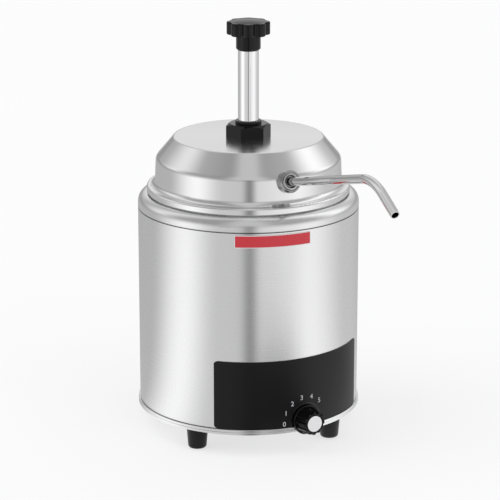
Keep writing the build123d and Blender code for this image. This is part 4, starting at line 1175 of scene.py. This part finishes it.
@dataclass
class ReturnSpring:
    """Coil spring under the piston, which closes up as the pump is pressed."""

    wire: float = 0.9
    turns: int = 8
    clearance: float = 0.3
    steps: int = 40
    section_sides: int = 12
    joint: str = "pump_press"

    def build(self, shop: Workshop) -> None:
        """Screw the wire's section up its helix.

        Args:
            shop: The workshop.
        """
        low, high = shop.box("return_spring")
        pitch = (high.z - low.z - 2 * self.wire) / self.turns
        clear_selection()
        bpy.ops.mesh.primitive_circle_add(
            vertices=self.section_sides,
            radius=self.wire * MM,
            location=((high.x - self.wire) * MM, 0, (low.z + self.wire) * MM),
            rotation=(math.radians(90), 0, 0),
        )
        spring = place(bpy.context.active_object, Matrix.Identity(4))
        apply_modifier(
            spring,
            "SCREW",
            angle=FULL_TURN,
            screw_offset=pitch * MM,
            iterations=self.turns,
            steps=self.steps,
            render_steps=self.steps,
        )
        editing(True)
        bpy.ops.mesh.select_mode(type="EDGE")
        bpy.ops.mesh.select_all(action="DESELECT")
        bpy.ops.mesh.select_non_manifold()
        bpy.ops.mesh.fill()
        tidy_mesh()
        editing(False)
        smooth(spring)
        shop.deliver(spring, "spring_coils", Body.LID, "spring_steel", ("return_spring",))
        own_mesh(spring)


# ---- studio ---------------------------------------------------------------------
def studio_levels() -> bpy.types.NodeTree:
    """Brightness of the room by direction: upright soft strips with a dark gap in front.

    The low ramp is what a wall of the object mirrors, the high one what its slopes and
    its top mirror. Both run round the object from behind, by the left, the front and the
    right. Horizon dims the room near the floor.

    Returns:
        The group. Level is the room's brightness, and Horizon its share near the floor.
    """
    tree, source, sink = new_group("studio_levels", {}, ["Level", "Horizon"])
    aim = tree.add("ShaderNodeVectorMath", operation="NORMALIZE")
    tree.feed(aim, source["Place"])
    turn = math.radians(Studio.azimuth)
    right, ahead = (math.cos(turn), math.sin(turn), 0), (math.sin(turn), -math.cos(turn), 0)
    sides = (tree.measure("DOT_PRODUCT", aim.outputs[0], axis) for axis in (right, ahead))
    angle = tree.math("ARCTAN2", *sides)
    share = tree.math("ADD", tree.math("DIVIDE", angle, FULL_TURN), 0.5)
    up = tree.split(aim.outputs[0])["Z"]
    horizon = tree.fade(up, *Studio.horizon_rise, first=Studio.horizon_level)
    tree.wire(horizon, sink["Horizon"])
    low, high = (
        tree.ramp(share, [(at / 360 + 0.5, level) for at, level in levels])
        for levels in (Studio.low_levels, Studio.high_levels)
    )
    tree.wire(tree.blend(tree.fade(up, *Studio.slope_rise), low, high), sink["Level"])
    return tree.tree


@dataclass(frozen=True)
class Lamp:
    """A wide soft lamp far away, its bearing counted from the camera's."""

    name: str
    energy: float
    turn: float
    rise: float
    spread: float = 50.0

    def build(self, camera_turn: float) -> None:
        """Hang the lamp, kept out of reflections.

        Args:
            camera_turn: The camera's bearing.
        """
        turn, rise = math.radians(camera_turn + self.turn), math.radians(self.rise)
        data = bpy.data.lights.new(self.name, "SUN")
        data.energy = self.energy
        data.angle = math.radians(self.spread)
        lamp = bpy.data.objects.new(self.name, data)
        bpy.context.scene.collection.objects.link(lamp)
        across, up = math.cos(rise), math.sin(rise)
        aim = Vector((math.sin(turn) * across, -math.cos(turn) * across, up))
        lamp.rotation_euler = aim.to_track_quat("Z", "Y").to_euler()
        lamp.visible_glossy = False


@dataclass
class Studio:
    """Surroundings, lamps and camera. Places are in metres, lens and sensor in millimetres.

    Each stop of the levels is a direction and its brightness: 0 degrees points at the
    camera, and 90 to the right in its picture. A rise is the height of a direction of
    length 1, as a start and an end.
    """

    azimuth: ClassVar[float] = -28.0
    low_levels: ClassVar[Profile] = [
        (-180, 0.46), (-112, 0.56), (-64, 1.26), (-28, 0.74), (-9, 0.72),
        (1.5, 0.27), (12, 0.90), (40, 1.02), (60, 1.17), (112, 0.68), (180, 0.46),
    ]
    high_levels: ClassVar[Profile] = [
        (-180, 0.95), (-146, 0.50), (-110, 1.00), (-80, 0.46), (-38, 0.38), (-12, 0.66),
        (12, 0.66), (36, 0.42), (74, 0.48), (110, 1.32), (146, 0.62), (180, 0.95),
    ]
    slope_rise: ClassVar[Corner] = (0.0, 0.3)
    horizon_rise: ClassVar[Corner] = (0.09, 0.20)
    horizon_level: ClassVar[float] = 0.70
    background: Signal = (1, 1, 1, 1)
    room_light: Signal = (0.75, 0.75, 0.76, 1)
    floor_pale: Signal = (0.86, 0.86, 0.86, 1)
    floor_shade: Signal = (0.36, 0.36, 0.36, 1)
    floor_glow: Signal = (0.62, 0.62, 0.62, 1)
    floor_size: float = 12.0
    # a painted shadow in the floor's reflections, under the spout's end
    dark_patch_middle: tuple[float, float, float] = (-0.016, -0.25, 0.0)
    dark_patch_radii: Corner = (0.05, 0.13)
    dark_patch_level: float = 0.08
    distance: float = 2.1
    height: float = 0.77
    pitch: float = 16.06
    pan: float = 0.04
    lens: float = 170.0
    sensor: float = 36.0
    lamps: tuple[Lamp, ...] = (Lamp("key_lamp", 0.70, -75, 50), Lamp("fill_lamp", 0.35, 40, 38))

    def build(self) -> None:
        """Make everything that lights and frames the object."""
        self.make_camera()
        self.make_world()
        self.make_floor()
        for lamp in self.lamps:
            lamp.build(self.azimuth)
        bpy.context.scene.view_settings.view_transform = "Standard"
        log.info("studio ready")

    def make_camera(self) -> None:
        """Place the camera on its side of the object, level and looking down a little."""
        turn = math.radians(self.azimuth)
        data = bpy.data.cameras.new("camera")
        data.lens = self.lens
        data.sensor_width = self.sensor
        camera = bpy.data.objects.new("camera", data)
        bpy.context.scene.collection.objects.link(camera)
        camera.location = (self.distance * math.sin(turn), -self.distance * math.cos(turn), self.height)
        camera.rotation_euler = (math.radians(90 - self.pitch), 0, turn - math.radians(self.pan))
        bpy.context.scene.camera = camera

    def make_world(self) -> None:
        """White behind the object, strips in its gloss, even light on the rest."""
        world = bpy.data.worlds.new("white_room")
        world.use_nodes = True
        bpy.context.scene.world = world
        tree = Tree(world.node_tree)
        tree.tree.nodes.clear()
        levels = tree.group(studio_levels, tree.add("ShaderNodeTexCoord").outputs["Generated"])
        rays = tree.add("ShaderNodeLightPath").outputs
        mirrored = tree.math("MAXIMUM", rays["Is Glossy Ray"], rays["Is Transmission Ray"])
        shown = tree.put("ShaderNodeBackground", self.background)
        even = tree.put("ShaderNodeBackground", self.room_light)
        shaded = tree.math("MULTIPLY", levels["Level"], levels["Horizon"])
        strips = tree.put("ShaderNodeBackground", shaded)
        inner = tree.put("ShaderNodeMixShader", mirrored, even, strips)
        outer = tree.put("ShaderNodeMixShader", rays["Is Camera Ray"], inner, shown)
        tree.wire(outer, tree.add("ShaderNodeOutputWorld").inputs[0])

    def make_floor(self) -> None:
        """A pale floor that keeps the object's shadow.

        Reflections see the room's strips in it, and a painted shadow under the spout's end: a dark
        patch that stands in for the object's shade on the floor.
        """
        clear_selection()
        bpy.ops.mesh.primitive_plane_add(size=self.floor_size)
        floor = bpy.context.active_object
        floor.name = "studio_floor"
        material = bpy.data.materials.new("pale_floor")
        material.use_nodes = True
        tree = Tree(material.node_tree)
        tree.tree.nodes.clear()
        position = tree.add("ShaderNodeTexCoord").outputs["Object"]
        level = tree.group(studio_levels, position)["Level"]
        rays = tree.add("ShaderNodeLightPath").outputs
        matt = tree.put("ShaderNodeBsdfDiffuse", self.floor_pale)
        shade = tree.put("ShaderNodeBsdfDiffuse", self.floor_shade)
        glow = tree.put("ShaderNodeEmission", self.floor_glow)
        seen = tree.put("ShaderNodeAddShader", shade, glow)
        surface = tree.put("ShaderNodeMixShader", rays["Is Camera Ray"], matt, seen)
        # painted shadow: the reflected strips darken round a spot under the spout's end
        away = tree.measure("DISTANCE", position, self.dark_patch_middle)
        patch = tree.fade(away, *self.dark_patch_radii, first=self.dark_patch_level)
        strips = tree.put("ShaderNodeEmission", tree.math("MULTIPLY", level, patch))
        mix = tree.put("ShaderNodeMixShader", rays["Is Glossy Ray"], surface, strips)
        tree.wire(mix, tree.add("ShaderNodeOutputMaterial").inputs[0])
        floor.data.materials.append(material)


def main() -> None:
    """Build the object round its frame, and light it."""
    logging.basicConfig(level=logging.INFO, format="%(name)s: %(message)s")
    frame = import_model()
    shop = Workshop(frame)
    Studio().build()
    shop.dress_frame()
    for piece in (RubberFeet(), DialMarks(), DialCap(), BandBorder(), GlandNut(), ReturnSpring()):
        piece.build(shop)


if __name__ == "__main__":
    main()
